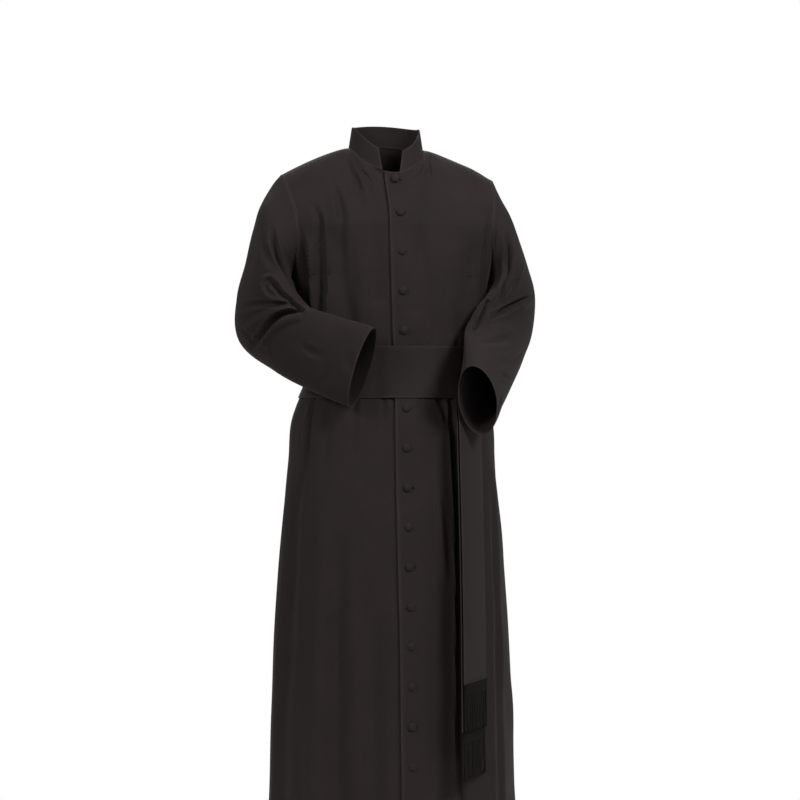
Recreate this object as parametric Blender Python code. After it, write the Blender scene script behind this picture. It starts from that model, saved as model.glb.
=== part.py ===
"""Full-length Roman cassock with a fringed band cincture, worn form, hollow.

Metres, +Z up. The origin is where the shoulders carry the garment: the middle of
the neck, level with the tops of the shoulder seams. The front faces -Y and the
wearer's left is +X. Each cut piece is one closed cloth wall.
"""

import math

import bpy
import numpy as np

# Cloth and seams
CLOTH = 0.0018
BAND_CLOTH = 0.0022
SEAM_GAP = 0.0003
SLEEVE_GAP = 0.0004
SLEEVE_CLEAR = 0.0045
HEAD_END = 0.25
HEAD_BLEND = 0.14
SEAM_TURN = SEAM_GAP / 2 / 0.2
STEP = 1e-4
SHARP = 40.0

# Garment levels
HEM = -1.52
CHEST = -0.165
UNDERARM = -0.262

# Front closing: the left front laps over the right one
LAP_LEFT = 0.021
LAP_RIGHT = 0.019
LAP_LIFT = 0.0028
LAP_LEVEL_TO = 0.022
LAP_FADE_TO = 0.055

# Armhole half depths and shoulder line
ARMHOLE_FRONT = 0.075
ARMHOLE_BACK = 0.080
SHOULDER_TIP = (0.214, 0.012, -0.058)
SHOULDER_BOW = 1.35
SHOULDER_SHIFT = -0.005
CHEST_PULL = 11.0
SHOULDER_PULL = 0.105

# Neck seam: an oval that rises from the throat to the nape
NECK_SHIFT = -0.011
NECK_HALF = 0.0745
NECK_FRONT = 0.082
NECK_BACK = 0.070
NECK_THROAT_Z = -0.060
NECK_SIDE_Z = -0.003
NECK_NAPE_Z = 0.010
NECK_SHARE = 0.42
THROAT_LEAN = 0.25
NAPE_LEAN = 0.40

COLLAR_HEIGHT = 0.040
COLLAR_LEAN = 0.16
NOTCH_LOW = (-0.0225, 0.0115)
NOTCH_HIGH = (-0.0290, 0.0200)

BUTTON_RADIUS = 0.0082
BUTTON_HEIGHT = 0.0052
BUTTON_SIDES = 8
BUTTON_STAND = 0.0010
BUTTON_FIRST = -0.074
BUTTON_SECOND = -0.1415
BUTTON_PITCH = 0.0758
BUTTON_LAST = -1.46

BAND_TOP = -0.400
BAND_LOW = -0.500
BAND_CLEAR = 0.0010

TAIL_WIDTH = 0.092
TAIL_ACROSS = 0.129
TAIL_FACING = 49.0
TAIL_CUP = 0.8
FRINGE_DEPTH = 0.092
FRINGE_THICK = 0.0030
# Each tail's name, end height, stand-off from the skirt, slide along its own width
# and its fringe's flare.
TAILS = (
    ("front", -1.044, 0.0085, 0.0, 0.0),
    ("rear", -1.134, 0.0035, -0.006, 0.12),
)


def table(names, *rows):
    """A short table as named columns."""
    columns = zip(*rows)
    return {name: np.array(column, float) for name, column in zip(names.split(), columns)}


# Level sections of the body and skirt, from the hem up.
BODY = table(
    "height  half_width front  back   shift   square",
    (-1.520, 0.256, 0.178, 0.205, 0.0060, 2.10),
    (-1.300, 0.2515, 0.172, 0.196, 0.0060, 2.10),
    (-1.100, 0.246, 0.166, 0.186, 0.0055, 2.10),
    (-0.900, 0.237, 0.158, 0.174, 0.0040, 2.15),
    (-0.750, 0.223, 0.148, 0.162, 0.0025, 2.20),
    (-0.620, 0.208, 0.138, 0.148, 0.0020, 2.25),
    (-0.540, 0.201, 0.131, 0.138, 0.0025, 2.25),
    (-0.500, 0.187, 0.124, 0.127, 0.0035, 2.25),
    (-0.470, 0.175, 0.119, 0.119, 0.0035, 2.25),
    (-0.430, 0.170, 0.117, 0.114, 0.0030, 2.30),
    (-0.400, 0.173, 0.119, 0.114, 0.0015, 2.30),
    (-0.360, 0.180, 0.123, 0.116, -0.0010, 2.30),
    (-0.305, 0.190, 0.125, 0.121, -0.0030, 2.35),
    (-0.262, 0.200, 0.124, 0.125, -0.0040, 2.40),
    (-0.210, 0.219, 0.121, 0.127, -0.0050, 2.40),
    (-0.165, 0.232, 0.117, 0.126, -0.0050, 2.40),
)

# Long soft folds: where each runs (degrees round from the centre front, positive
# to the wearer's left), its ends, half width and depth (troughs are negative).
FOLDS = table(
    "top_angle low_angle top    low    width  depth",
    (-52.0, -44.0, -0.150, -0.390, 0.0240, -0.0120),
    (-24.0, -22.0, -0.130, -0.330, 0.0260, -0.0040),
    (12.0, 10.0, -0.150, -0.350, 0.0260, -0.0030),
    (60.0, 52.0, -0.170, -0.390, 0.0240, -0.0070),
    (-30.0, -32.0, -0.720, -1.640, 0.0460, -0.0100),
    (-8.0, -12.0, -0.560, -1.640, 0.0300, 0.0030),
    (27.0, 22.0, -0.600, -1.640, 0.0300, -0.0050),
    (-75.0, -66.0, -0.500, -1.640, 0.0380, -0.0090),
    (78.0, 72.0, -0.620, -1.640, 0.0420, -0.0090),
    (112.0, 118.0, -0.520, -1.640, 0.0420, -0.0130),
    (-108.0, -116.0, -0.500, -1.640, 0.0420, -0.0130),
    (143.0, 146.0, -0.540, -1.640, 0.0440, -0.0140),
    (-146.0, -147.0, -0.520, -1.640, 0.0440, -0.0140),
    (174.0, 178.0, -0.500, -1.640, 0.0460, -0.0120),
    (150.0, 158.0, -0.170, -0.400, 0.0280, -0.0070),
    (-150.0, -157.0, -0.180, -0.400, 0.0280, -0.0070),
)

# Four lines along each sleeve, as if it hung on the left: on the body side, the
# front, the outer side and the elbow side, from the armhole (0) to the cuff (1).
GUIDES = (
    "along  body_x body_y body_z  front_x front_y front_z  outer_x outer_y outer_z"
    "  elbow_x elbow_y elbow_z"
)
SLEEVE_RIGHT = table(
    GUIDES,
    (0.00, 0.200, 0.000, -0.261, 0.205, -0.077, -0.163, 0.210, 0.000, -0.065, 0.205, 0.077, -0.163),
    (0.12, 0.196, 0.000, -0.270, 0.229, -0.080, -0.190, 0.252, 0.004, -0.113, 0.228, 0.080, -0.198),
    (0.25, 0.190, -0.005, -0.284, 0.240, -0.086, -0.222, 0.270, 0.008, -0.170, 0.228, 0.080, -0.245),
    (0.38, 0.186, -0.010, -0.302, 0.240, -0.094, -0.258, 0.285, 0.010, -0.235, 0.228, 0.082, -0.298),
    (0.50, 0.186, -0.015, -0.322, 0.228, -0.104, -0.292, 0.303, 0.008, -0.298, 0.243, 0.083, -0.355),
    (0.60, 0.188, -0.022, -0.348, 0.205, -0.112, -0.318, 0.303, -0.012, -0.348, 0.262, 0.055, -0.410),
    (0.70, 0.178, -0.045, -0.376, 0.174, -0.125, -0.331, 0.258, -0.068, -0.378, 0.231, -0.020, -0.450),
    (0.85, 0.133, -0.096, -0.412, 0.122, -0.160, -0.350, 0.185, -0.136, -0.412, 0.178, -0.098, -0.487),
    (1.00, 0.077, -0.161, -0.444, 0.073, -0.198, -0.369, 0.114, -0.195, -0.444, 0.114, -0.158, -0.519),
)
SLEEVE_LEFT = table(
    GUIDES,
    (0.00, 0.200, 0.000, -0.261, 0.205, -0.077, -0.163, 0.210, 0.000, -0.065, 0.205, 0.077, -0.163),
    (0.12, 0.196, 0.000, -0.270, 0.220, -0.079, -0.190, 0.239, 0.003, -0.114, 0.220, 0.080, -0.196),
    (0.25, 0.192, -0.002, -0.286, 0.228, -0.084, -0.226, 0.260, 0.006, -0.172, 0.226, 0.081, -0.245),
    (0.38, 0.188, -0.006, -0.304, 0.218, -0.094, -0.262, 0.287, 0.008, -0.238, 0.234, 0.083, -0.300),
    (0.50, 0.185, -0.016, -0.328, 0.193, -0.102, -0.295, 0.303, 0.006, -0.298, 0.246, 0.082, -0.356),
    (0.60, 0.178, -0.042, -0.358, 0.163, -0.110, -0.324, 0.290, -0.014, -0.350, 0.251, 0.052, -0.406),
    (0.70, 0.160, -0.080, -0.392, 0.133, -0.134, -0.360, 0.252, -0.068, -0.388, 0.229, -0.014, -0.452),
    (0.85, 0.128, -0.134, -0.449, 0.114, -0.188, -0.397, 0.203, -0.150, -0.445, 0.184, -0.095, -0.511),
    (1.00, 0.087, -0.195, -0.505, 0.101, -0.250, -0.440, 0.154, -0.229, -0.505, 0.138, -0.174, -0.570),
)

# Rows of each panel: level rows below the chest line, then shares of the way from
# the chest line to the neck and shoulder seams.
LOW_ROWS = (
    HEM, -1.38, -1.22, -1.06, -0.90, -0.76, -0.65, -0.57, -0.525, BAND_LOW,
    -0.465, -0.43, BAND_TOP, -0.365, -0.330, -0.295, UNDERARM, -0.258, -0.247,
    -0.229, -0.200, CHEST,
)
TOP_ROWS = (0.22, 0.45, 0.68, 0.86, 1.0)
NECK_COLUMNS = 6
SHOULDER_COLUMNS = 7
SLEEVE_ROWS = (0.0, 0.05, 0.10, 0.17, 0.25, 0.33, 0.41, 0.49, 0.56, 0.63, 0.70, 0.79, 0.89, 1.0)


def smooth(where, places, values):
    """A smooth curve through a table's column."""
    where = np.asarray(where, float)
    slopes = np.gradient(values, places)
    i = np.clip(np.searchsorted(places, where) - 1, 0, len(places) - 2)
    span = places[i + 1] - places[i]
    t = (where - places[i]) / span
    inside = np.clip(t, 0.0, 1.0)
    curve = (
        (2 * inside**3 - 3 * inside**2 + 1) * values[i]
        + (inside**3 - 2 * inside**2 + inside) * span * slopes[i]
        + (3 * inside**2 - 2 * inside**3) * values[i + 1]
        + (inside**3 - inside**2) * span * slopes[i + 1]
    )
    past = (t - inside) * span
    return curve + past * np.where(t > 1, slopes[i + 1], slopes[i])


def ease(low, high, value):
    """0 below low, 1 above high, smooth between."""
    t = np.clip((value - low) / (high - low), 0.0, 1.0)
    return t * t * (3 - 2 * t)


def body(name, height):
    return smooth(height, BODY["height"], BODY[name])


def depth_round(angle, height):
    """The section's half depth on the side that an angle looks to."""
    return np.where(np.cos(angle) > 0, body("front", height), body("back", height))


def radius(angle, height):
    """The section's reach at an angle round from the centre front."""
    square = body("square", height)
    across = np.abs(np.sin(angle) / body("half_width", height)) ** square
    deep = np.abs(np.cos(angle) / depth_round(angle, height)) ** square
    return (across + deep) ** (-1 / square)


def fold_lift(angle, height):
    """How far the long folds move the cloth in or out."""
    lift = np.zeros(np.broadcast(angle, height).shape)
    reach = 0.19
    for top_angle, low_angle, top, low, width, depth in zip(*FOLDS.values()):
        share = np.clip((top - height) / (top - low), 0.0, 1.0)
        middle = np.radians(top_angle + (low_angle - top_angle) * share)
        away = (angle - middle + np.pi) % (2 * np.pi) - np.pi
        ends = ease(0.0, 0.3, share) * ease(0.0, 0.12, (height - low) / (top - low))
        lift += depth * ends * np.exp(-((away * reach / width) ** 2))
    return lift


def skin(angle, height, folded=1.0):
    """A point of the body form at an angle and height."""
    reach = radius(angle, height) + folded * fold_lift(angle, height)
    x = body("shift", height) + reach * np.sin(angle)
    return np.stack([x, -reach * np.cos(angle), height + 0 * x], axis=-1)


def angle_at(across, height):
    """The angle of the front point that lies `across` from the centre line."""
    square = body("square", height)
    share = np.abs(across / body("half_width", height)) ** square
    deep = body("front", height) * (1 - share) ** (1 / square)
    return np.arctan2(across, deep)


def armhole_angle(height, half_depth, back):
    """Where a panel's side edge lies: the side seam, then the lower armhole."""
    share = np.clip((CHEST - height) / (CHEST - UNDERARM), 0.0, 1.0)
    deep = half_depth * np.sqrt(1 - share**2)
    full = body("back", height) if back else body("front", height)
    square = body("square", height)
    wide = body("half_width", height) * (1 - (deep / full) ** square) ** (1 / square)
    angle = np.arctan2(wide, deep)
    return np.pi - angle if back else angle


def neck(angle):
    """A point of the neck seam at an angle round from the throat."""
    deep = np.where(np.cos(angle) > 0, NECK_FRONT, NECK_BACK)
    end = np.where(np.cos(angle) > 0, NECK_THROAT_Z, NECK_NAPE_Z)
    x = NECK_SHIFT + NECK_HALF * np.sin(angle)
    z = NECK_SIDE_Z + (end - NECK_SIDE_Z) * np.abs(np.cos(angle)) ** 1.6
    return np.stack([x, -deep * np.cos(angle), z], axis=-1)


def top_edge(share, side, back):
    """Neck seam, then shoulder seam, and the way the cloth meets them."""
    turn = (np.pi / 2 - SEAM_GAP / NECK_HALF) * np.clip(share / NECK_SHARE, 0.0, 1.0)
    rest = (np.pi / 2 - SEAM_GAP / NECK_HALF) * (1 - np.clip(share / NECK_SHARE, 0.0, 1.0))
    angle = side * (np.pi / 2 + SEAM_GAP / NECK_HALF + rest) if back else side * turn
    run = np.clip((share - NECK_SHARE) / (1 - NECK_SHARE), 0.0, 1.2)
    tip_x, tip_y, tip_z = SHOULDER_TIP
    shift = NECK_SHIFT + (SHOULDER_SHIFT - NECK_SHIFT) * run
    x = shift + side * (NECK_HALF + (tip_x - NECK_HALF) * run)
    z = NECK_SIDE_Z + (tip_z - NECK_SIDE_Z) * run**SHOULDER_BOW
    y = tip_y * run + SEAM_GAP / 2 * (1 if back else -1)
    at_shoulder = np.stack([x, y, z], axis=-1)
    point = np.where((share < NECK_SHARE)[..., None], neck(angle), at_shoulder)
    flat = ease(0.0, 1.0, share / NECK_SHARE)
    lean = NAPE_LEAN if back else THROAT_LEAN
    back_way = (lean + (1 - lean) * flat) * (-1 if back else 1)
    toward = np.stack([0 * flat, back_way, 1 - flat], axis=-1)
    return point, toward / np.linalg.norm(toward, axis=-1, keepdims=True)


def panel_point(across, up, back):
    """A point of the fronts or the back. `across` runs from 0 at the middle to 1 at
    the wearer's left side edge and -1 at the right one; `up` is the height above the
    chest line and, over it, the share of the way to the neck and shoulder seams."""
    side = np.where(across < 0, -1.0, 1.0)
    share = np.abs(across)
    height = CHEST + np.minimum(up, 0.0)
    half_depth = ARMHOLE_BACK if back else ARMHOLE_FRONT
    limit = armhole_angle(height, half_depth, back) + SEAM_TURN * (1 if back else -1)
    angle = side * (np.pi - (np.pi - limit) * share) if back else side * limit * share
    lower = skin(angle, height)
    level = CHEST + 0 * height
    chest = skin(angle, level)
    rise = (skin(angle, level, 0.0) - skin(angle, level - 0.01, 0.0)) * CHEST_PULL
    top, toward = top_edge(share, side, back)
    t = np.clip(up, 0.0, 1.0 + 2 * STEP)[..., None]
    upper = (
        (2 * t**3 - 3 * t**2 + 1) * chest
        + (t**3 - 2 * t**2 + t) * rise
        + (3 * t**2 - 2 * t**3) * top
        + (t**3 - t**2) * toward * SHOULDER_PULL
    )
    return np.where((up > 0)[..., None], upper, lower)


def lap_share(width, up):
    """Where a lap edge lies, as a share of the way from the middle to the side."""
    height = CHEST + np.minimum(up, 0.0)
    low = angle_at(width, height) / armhole_angle(height, ARMHOLE_FRONT, False)
    top = math.asin(width / NECK_HALF) / (math.pi / 2) * NECK_SHARE
    return low + (top - low) * np.clip(up, 0.0, 1.0)


def unit(vectors):
    return vectors / np.linalg.norm(vectors, axis=-1, keepdims=True)


def outward(point, u, v, sign):
    """Unit normals of a point function over its two parameters."""
    along = point(u + STEP, v) - point(u - STEP, v)
    up = point(u, v + STEP) - point(u, v - STEP)
    return unit(np.cross(along, up)) * sign


def wall_object(name, outer, inner, closed, material):
    """A closed wall of triangles between two grids of points, as one mesh object."""
    rows, columns = outer.shape[:2]
    points = np.concatenate([outer.reshape(-1, 3), inner.reshape(-1, 3)])
    count = rows * columns
    quads = []
    last = columns if closed else columns - 1
    for r in range(rows - 1):
        for c in range(last):
            d = (c + 1) % columns
            low, high = r * columns, (r + 1) * columns
            face = (low + c, low + d, high + d, high + c)
            if np.linalg.norm(points[face[0]] - points[face[2]]) > np.linalg.norm(
                points[face[1]] - points[face[3]]
            ):
                face = face[1:] + face[:1]
            quads.append(face)
            quads.append((count + face[2], count + face[1], count + face[0], count + face[3]))
    top = (rows - 1) * columns
    for c in range(last):
        d = (c + 1) % columns
        quads.append((count + c, count + d, d, c))
        quads.append((top + c, top + d, count + top + d, count + top + c))
    if not closed:
        for r in range(rows - 1):
            low, high = r * columns, (r + 1) * columns
            quads.append((low, high, count + high, count + low))
            low, high = low + columns - 1, high + columns - 1
            quads.append((count + low, count + high, high, low))
    faces = []
    for a, b, c, d in quads:
        faces.append((a, b, c))
        faces.append((a, c, d))
    mesh = bpy.data.meshes.new(name)
    mesh.from_pydata(points.tolist(), [], faces)
    mesh.materials.append(material)
    mesh.shade_smooth()
    mesh.set_sharp_from_angle(angle=math.radians(SHARP))
    made = bpy.data.objects.new(name, mesh)
    bpy.context.collection.objects.link(made)
    return made


def cloth_material(name, colour, roughness):
    material = bpy.data.materials.new(name)
    material.use_nodes = True
    shader = material.node_tree.nodes["Principled BSDF"]
    shader.inputs["Base Color"].default_value = (*colour, 1.0)
    shader.inputs["Roughness"].default_value = roughness
    shader.inputs["Metallic"].default_value = 0.0
    return material


def lap_lift(points):
    """How far the left front stands off to lie over the right one."""
    height = np.clip(points[..., 2], HEM, CHEST)
    across = points[..., 0] - body("shift", height)
    return LAP_LIFT * (1 - ease(LAP_LEVEL_TO, LAP_FADE_TO, across))


def panel_rows():
    return np.array([height - CHEST for height in LOW_ROWS] + list(TOP_ROWS))


def panel_columns():
    """Even columns below the neck seam, then below the shoulder seam."""
    inner = np.linspace(0, NECK_SHARE, NECK_COLUMNS + 1)
    outer = np.linspace(NECK_SHARE, 1, SHOULDER_COLUMNS + 1)
    return np.concatenate([inner, outer[1:]])


def front_point(u, v):
    return panel_point(u, v, False)


def back_point(u, v):
    return panel_point(u, v, True)


def make_fronts(material):
    """Both fronts, each running a little past the middle under or over the other."""
    edges = {}
    for name, side, width in (("front_right", -1, LAP_RIGHT), ("front_left", 1, LAP_LEFT)):
        across, up = np.meshgrid(np.concatenate([[0.0], panel_columns()]), panel_rows())
        across[:, 0] = -lap_share(width, up[:, 0])
        across = side * across
        outer = front_point(across, up)
        normals = outward(front_point, across, up, 1)
        if side > 0:
            outer = outer + normals * lap_lift(outer)[..., None]
        inner = outer - normals * CLOTH
        edges[side] = np.stack([outer[:, -1], normals[:, -1]])
        if side < 0:
            outer, inner = outer[:, ::-1], inner[:, ::-1]
        wall_object(name, outer, inner, False, material)
    return edges


def make_back(material):
    shares = panel_columns()
    across, up = np.meshgrid(np.concatenate([shares[::-1], -shares[1:]]), panel_rows())
    outer = back_point(across, up)
    normals = outward(back_point, across, up, -1)
    wall_object("back", outer, outer - normals * CLOTH, False, material)
    return {side: np.stack([outer[:, c], normals[:, c]]) for side, c in ((1, 0), (-1, -1))}


def sleeve_ring(guides, along, theta, side):
    """A ring of the sleeve through its four guide lines: the body side, the front,
    the outer side and the elbow side."""

    def line(name):
        columns = [smooth(along, guides["along"], guides[name + axis]) for axis in ("_x", "_y", "_z")]
        return np.stack(columns, axis=-1)

    near, front, outer, elbow = (line(name) for name in ("body", "front", "outer", "elbow"))
    wide, deep = np.cos(theta)[..., None], np.sin(theta)[..., None]
    ring = (near - outer) * wide / 2 + (front - elbow) * deep / 2
    ring = ring + (near + outer) * wide**2 / 2 + (front + elbow) * deep**2 / 2
    ring = ring * np.array([side, 1.0, 1.0])
    ring[..., 0] += body("shift", np.clip(ring[..., 2], HEM, CHEST))
    return ring


def clear_of_body(points, loop, along, side):
    """Moves sleeve points off the armhole's edge and off the body's side."""
    out = side * points[..., 0]
    least_out = side * loop[:, 0] + SLEEVE_GAP + 0.02 * along
    points[..., 0] = side * np.where(along < HEAD_END, np.maximum(out, least_out), out)
    height = np.minimum(points[..., 2], UNDERARM)
    across = points[..., 0] - body("shift", height)
    angle = np.arctan2(across, -points[..., 1])
    reach = np.hypot(across, points[..., 1])
    least = radius(angle, height) + np.maximum(fold_lift(angle, height), 0) + SLEEVE_CLEAR
    below = points[..., 2] < UNDERARM - 0.001
    push = np.where(below & (reach < least), least / reach, 1.0)
    points[..., 0] = body("shift", height) + across * push
    points[..., 1] = points[..., 1] * push
    return points


def make_sleeve(name, side, guides, front_edge, back_edge, material):
    low = LOW_ROWS.index(UNDERARM)
    front = front_edge[:, low:]
    rear = back_edge[:, low:][:, ::-1][:, 1:-1]
    loop, loop_normals = np.concatenate([front, rear], axis=1)
    centre = np.array([0, 0.0, (loop[:, 2].max() + loop[:, 2].min()) / 2])
    half = (loop[:, 2].max() - loop[:, 2].min()) / 2
    loop_angle = np.unwrap(np.arctan2(-loop[:, 1] / ARMHOLE_FRONT, (centre[2] - loop[:, 2]) / half))
    theta, along = np.meshgrid(loop_angle, SLEEVE_ROWS)
    ring = sleeve_ring(guides, along, theta, side)
    gap = SLEEVE_GAP * (1.75 - 0.75 * np.cos(loop_angle))
    first = loop + gap[:, None] * np.array([side, 0, 0])
    blend = ease(0.0, HEAD_BLEND, along)[..., None]
    outer = ring + (1 - blend) * (first - ring[:1])
    outer = clear_of_body(outer, loop, along, side)
    turn = np.roll(outer, -1, axis=1) - np.roll(outer, 1, axis=1)
    run = np.gradient(outer, axis=0)
    normals = unit(np.cross(turn, run)) * -side
    with_panel = ease(0.3, 1.0, 1 - np.cos(loop_angle))[:, None]
    normals[0] = unit(normals[0] * (1 - with_panel) + loop_normals * with_panel)
    inner = outer - normals * CLOTH
    if side > 0:
        outer, inner = outer[:, ::-1], inner[:, ::-1]
    wall_object(name, outer, inner, True, material)


def neck_angles():
    """Where the panels' columns meet the neck seam, once round from the throat."""
    quarter = np.linspace(0, np.pi / 2, NECK_COLUMNS + 1)
    half = np.concatenate([quarter, np.pi / 2 + quarter[1:]])
    return np.concatenate([half, np.pi + half[1:]])


def make_collar(material):
    """A standing band, from one side of the notch round the nape to the other."""
    low = [math.asin(x / NECK_HALF) for x in NOTCH_LOW]
    high = [math.asin(x / (NECK_HALF * (1 - COLLAR_LEAN * 0.5))) for x in NOTCH_HIGH]
    round_neck = neck_angles()
    round_neck = round_neck[(round_neck > high[1] + 0.05) & (round_neck < 2 * np.pi + high[0] - 0.05)]
    rows = []
    for up in (0.0, 0.5, 1.0):
        first = low[1] + (high[1] - low[1]) * up
        last = 2 * np.pi + low[0] + (high[0] - low[0]) * up
        angle = np.concatenate([[first], round_neck, [last]])
        foot = neck(angle)
        flat = unit(np.stack([np.sin(angle) / NECK_HALF, -np.cos(angle) / NECK_FRONT, 0 * angle], -1))
        lap = lap_lift(foot) * (1 - up)
        rise = SEAM_GAP * 3 + 0.7 * lap + COLLAR_HEIGHT * up
        row = foot - flat * (COLLAR_LEAN * COLLAR_HEIGHT * up - lap)[..., None]
        row[:, 2] += rise
        rows.append((row, flat))
    outer = np.stack([row for row, _ in rows])
    flat = np.stack([f for _, f in rows])
    wall_object("collar", outer, outer - flat * BAND_CLOTH, False, material)


def button_place(height):
    """Point and outward normal of the left front's face on the button line."""
    middle = np.array([0.0])
    up = np.array([height - CHEST])
    if height > CHEST:
        share = np.linspace(0, 1, 201)
        line = front_point(0 * share, share)
        up = np.array([np.interp(height, line[:, 2], share)])
    normal = outward(front_point, middle, up, 1)[0]
    return front_point(middle, up)[0] + normal * LAP_LIFT, normal


def make_button(name, place, normal, material):
    """A domed, cloth-covered button, turned about its own axis."""
    profile = ((0.72, 0.0), (1.0, 0.26), (0.93, 0.56), (0.62, 0.88))
    sides = BUTTON_SIDES
    side = unit(np.cross([0.0, 0.0, 1.0], normal))
    up = np.cross(normal, side)
    base = place + normal * BUTTON_STAND
    points = []
    for wide, high in profile:
        for k in range(sides):
            turn = 2 * math.pi * k / sides
            radial = side * math.cos(turn) + up * math.sin(turn)
            points.append(base + radial * wide * BUTTON_RADIUS + normal * high * BUTTON_HEIGHT)
    points.append(base + normal * BUTTON_HEIGHT)
    faces = [tuple(range(sides))[::-1]]
    for r in range(len(profile) - 1):
        for k in range(sides):
            d = (k + 1) % sides
            faces.append((r * sides + k, r * sides + d, (r + 1) * sides + d, (r + 1) * sides + k))
    top = (len(profile) - 1) * sides
    for k in range(sides):
        faces.append((top + k, top + (k + 1) % sides, len(points) - 1))
    mesh = bpy.data.meshes.new(name)
    mesh.from_pydata([tuple(map(float, p)) for p in points], [], faces)
    mesh.materials.append(material)
    mesh.shade_smooth()
    made = bpy.data.objects.new(name, mesh)
    bpy.context.collection.objects.link(made)


def button_heights():
    """Even pitch below the second button; none where the waistband covers the row."""
    heights = [BUTTON_FIRST]
    height = BUTTON_SECOND
    while height > BUTTON_LAST:
        if not BAND_LOW - BUTTON_RADIUS < height < BAND_TOP + BUTTON_RADIUS:
            heights.append(height)
        height -= BUTTON_PITCH
    return heights


def make_buttons(material):
    for number, height in enumerate(button_heights(), 1):
        place, normal = button_place(height)
        make_button(f"button_{number:02d}", place, normal, material)


def make_band(material):
    """The cincture's waistband, a closed ring over the cloth."""
    rows = [height for height in LOW_ROWS if BAND_LOW <= height <= BAND_TOP]
    angle, height = np.meshgrid(np.linspace(0, 2 * np.pi, 61)[:-1], rows)
    normals = outward(skin, angle, height, 1)
    base = skin(angle, height)
    across = base[..., 0] - body("shift", height)
    front = np.cos(angle) > 0
    cover = front * ease(-0.060, -0.030, across) * (1 - ease(0.055, 0.085, across))
    inner = base + normals * (BAND_CLEAR + LAP_LIFT * cover)[..., None]
    wall_object("cincture_band", inner + normals * BAND_CLOTH, inner, True, material)


def shortage(points, height):
    """How much too near the skirt the nearest of some level points lies."""
    across = points[:, 0] - float(body("shift", height))
    angle = np.arctan2(across, -points[:, 1])
    reach = np.hypot(across, points[:, 1])
    level = np.full_like(angle, height)
    return float(np.max(radius(angle, level) + np.maximum(fold_lift(angle, level), 0) - reach))


def hanging_band(name, top, low, stand, slide, flare, thick, rows, material):
    """A flat strip that hangs over the wearer's left hip, its rear edge by the skirt
    and its front edge standing off."""
    facing_angle = math.radians(TAIL_FACING)
    facing = np.array([math.sin(facing_angle), -math.cos(facing_angle), 0.0])
    along = np.array([-facing[1], facing[0], 0.0])
    outer = []
    inner = []
    for height in np.linspace(low, top, rows):
        across = TAIL_ACROSS - float(body("shift", height))
        place = skin(np.array(angle_at(across, height)), np.array(height))
        share = (top - height) / (top - low)
        half = TAIL_WIDTH / 2 * (1 + flare * share)
        line = np.linspace(-half, half, 5)
        strip = place + along * (line + slide)[:, None] - facing * (TAIL_CUP * line**2)[:, None]
        for _ in range(6):
            strip[:, 1] -= shortage(strip, height) + stand
        outer.append(strip + facing * thick)
        inner.append(strip)
    return wall_object(name, np.array(outer), np.array(inner), False, material)


def main():
    for old in list(bpy.data.objects):
        bpy.data.objects.remove(old)
    cloth = cloth_material("black_suiting", (0.020, 0.018, 0.017), 0.75)
    sash = cloth_material("black_sash", (0.016, 0.014, 0.014), 0.7)
    front_edges = make_fronts(cloth)
    back_edges = make_back(cloth)
    for name, side, guides in (("sleeve_right", -1, SLEEVE_RIGHT), ("sleeve_left", 1, SLEEVE_LEFT)):
        make_sleeve(name, side, guides, front_edges[side], back_edges[side], cloth)
    make_collar(cloth)
    make_buttons(cloth)
    make_band(sash)
    top = BAND_LOW - SEAM_GAP
    for name, end, stand, slide, flare in TAILS:
        hanging_band("sash_tail_" + name, top, end, stand, slide, 0.0, BAND_CLOTH, 9, sash)
        top_of_fringe, foot = end - SEAM_GAP, end - FRINGE_DEPTH
        hanging_band(
            "fringe_" + name, top_of_fringe, foot, stand, slide, flare, FRINGE_THICK, 3, sash
        )


main()
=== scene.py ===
import math

import bpy
import numpy as np
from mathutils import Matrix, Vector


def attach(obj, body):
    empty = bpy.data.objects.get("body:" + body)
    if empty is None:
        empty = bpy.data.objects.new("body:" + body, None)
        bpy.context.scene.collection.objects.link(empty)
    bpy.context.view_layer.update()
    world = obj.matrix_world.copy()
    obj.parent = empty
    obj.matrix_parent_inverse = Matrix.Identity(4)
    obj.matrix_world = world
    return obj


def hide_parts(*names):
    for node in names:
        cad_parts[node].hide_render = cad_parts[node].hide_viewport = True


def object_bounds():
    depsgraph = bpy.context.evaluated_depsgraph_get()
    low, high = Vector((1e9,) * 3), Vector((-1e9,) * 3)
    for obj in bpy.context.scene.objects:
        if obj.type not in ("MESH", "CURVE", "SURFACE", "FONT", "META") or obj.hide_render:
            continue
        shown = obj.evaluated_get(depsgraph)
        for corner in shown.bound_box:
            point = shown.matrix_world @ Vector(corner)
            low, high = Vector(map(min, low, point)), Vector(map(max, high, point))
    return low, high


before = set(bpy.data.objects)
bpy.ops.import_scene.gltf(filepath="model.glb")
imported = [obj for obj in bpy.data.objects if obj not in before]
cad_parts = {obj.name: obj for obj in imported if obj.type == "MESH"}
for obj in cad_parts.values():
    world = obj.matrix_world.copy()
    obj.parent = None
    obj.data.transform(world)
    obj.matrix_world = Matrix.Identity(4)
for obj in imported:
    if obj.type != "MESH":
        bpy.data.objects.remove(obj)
cad_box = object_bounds()
bpy.ops.object.select_all(action="DESELECT")

# --- Studio -------------------------------------------------------------------
# A round pale floor just under the hem, white surroundings whose light is stronger
# from above, a wide soft lamp high on the wearer's left, a weaker one on the right
# and one behind.
# The camera stands waist high, a little to the wearer's right.
LENS = 78.75
EYE = (-0.7101, -3.4272, -0.504)
EYE_TURN = -12.0
FLOOR_DROP = 0.002
FLOOR_THICK = 0.02
FLOOR_RADIUS = 0.80
LIGHT_BELOW = 0.18
LIGHT_ABOVE = 0.62

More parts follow.
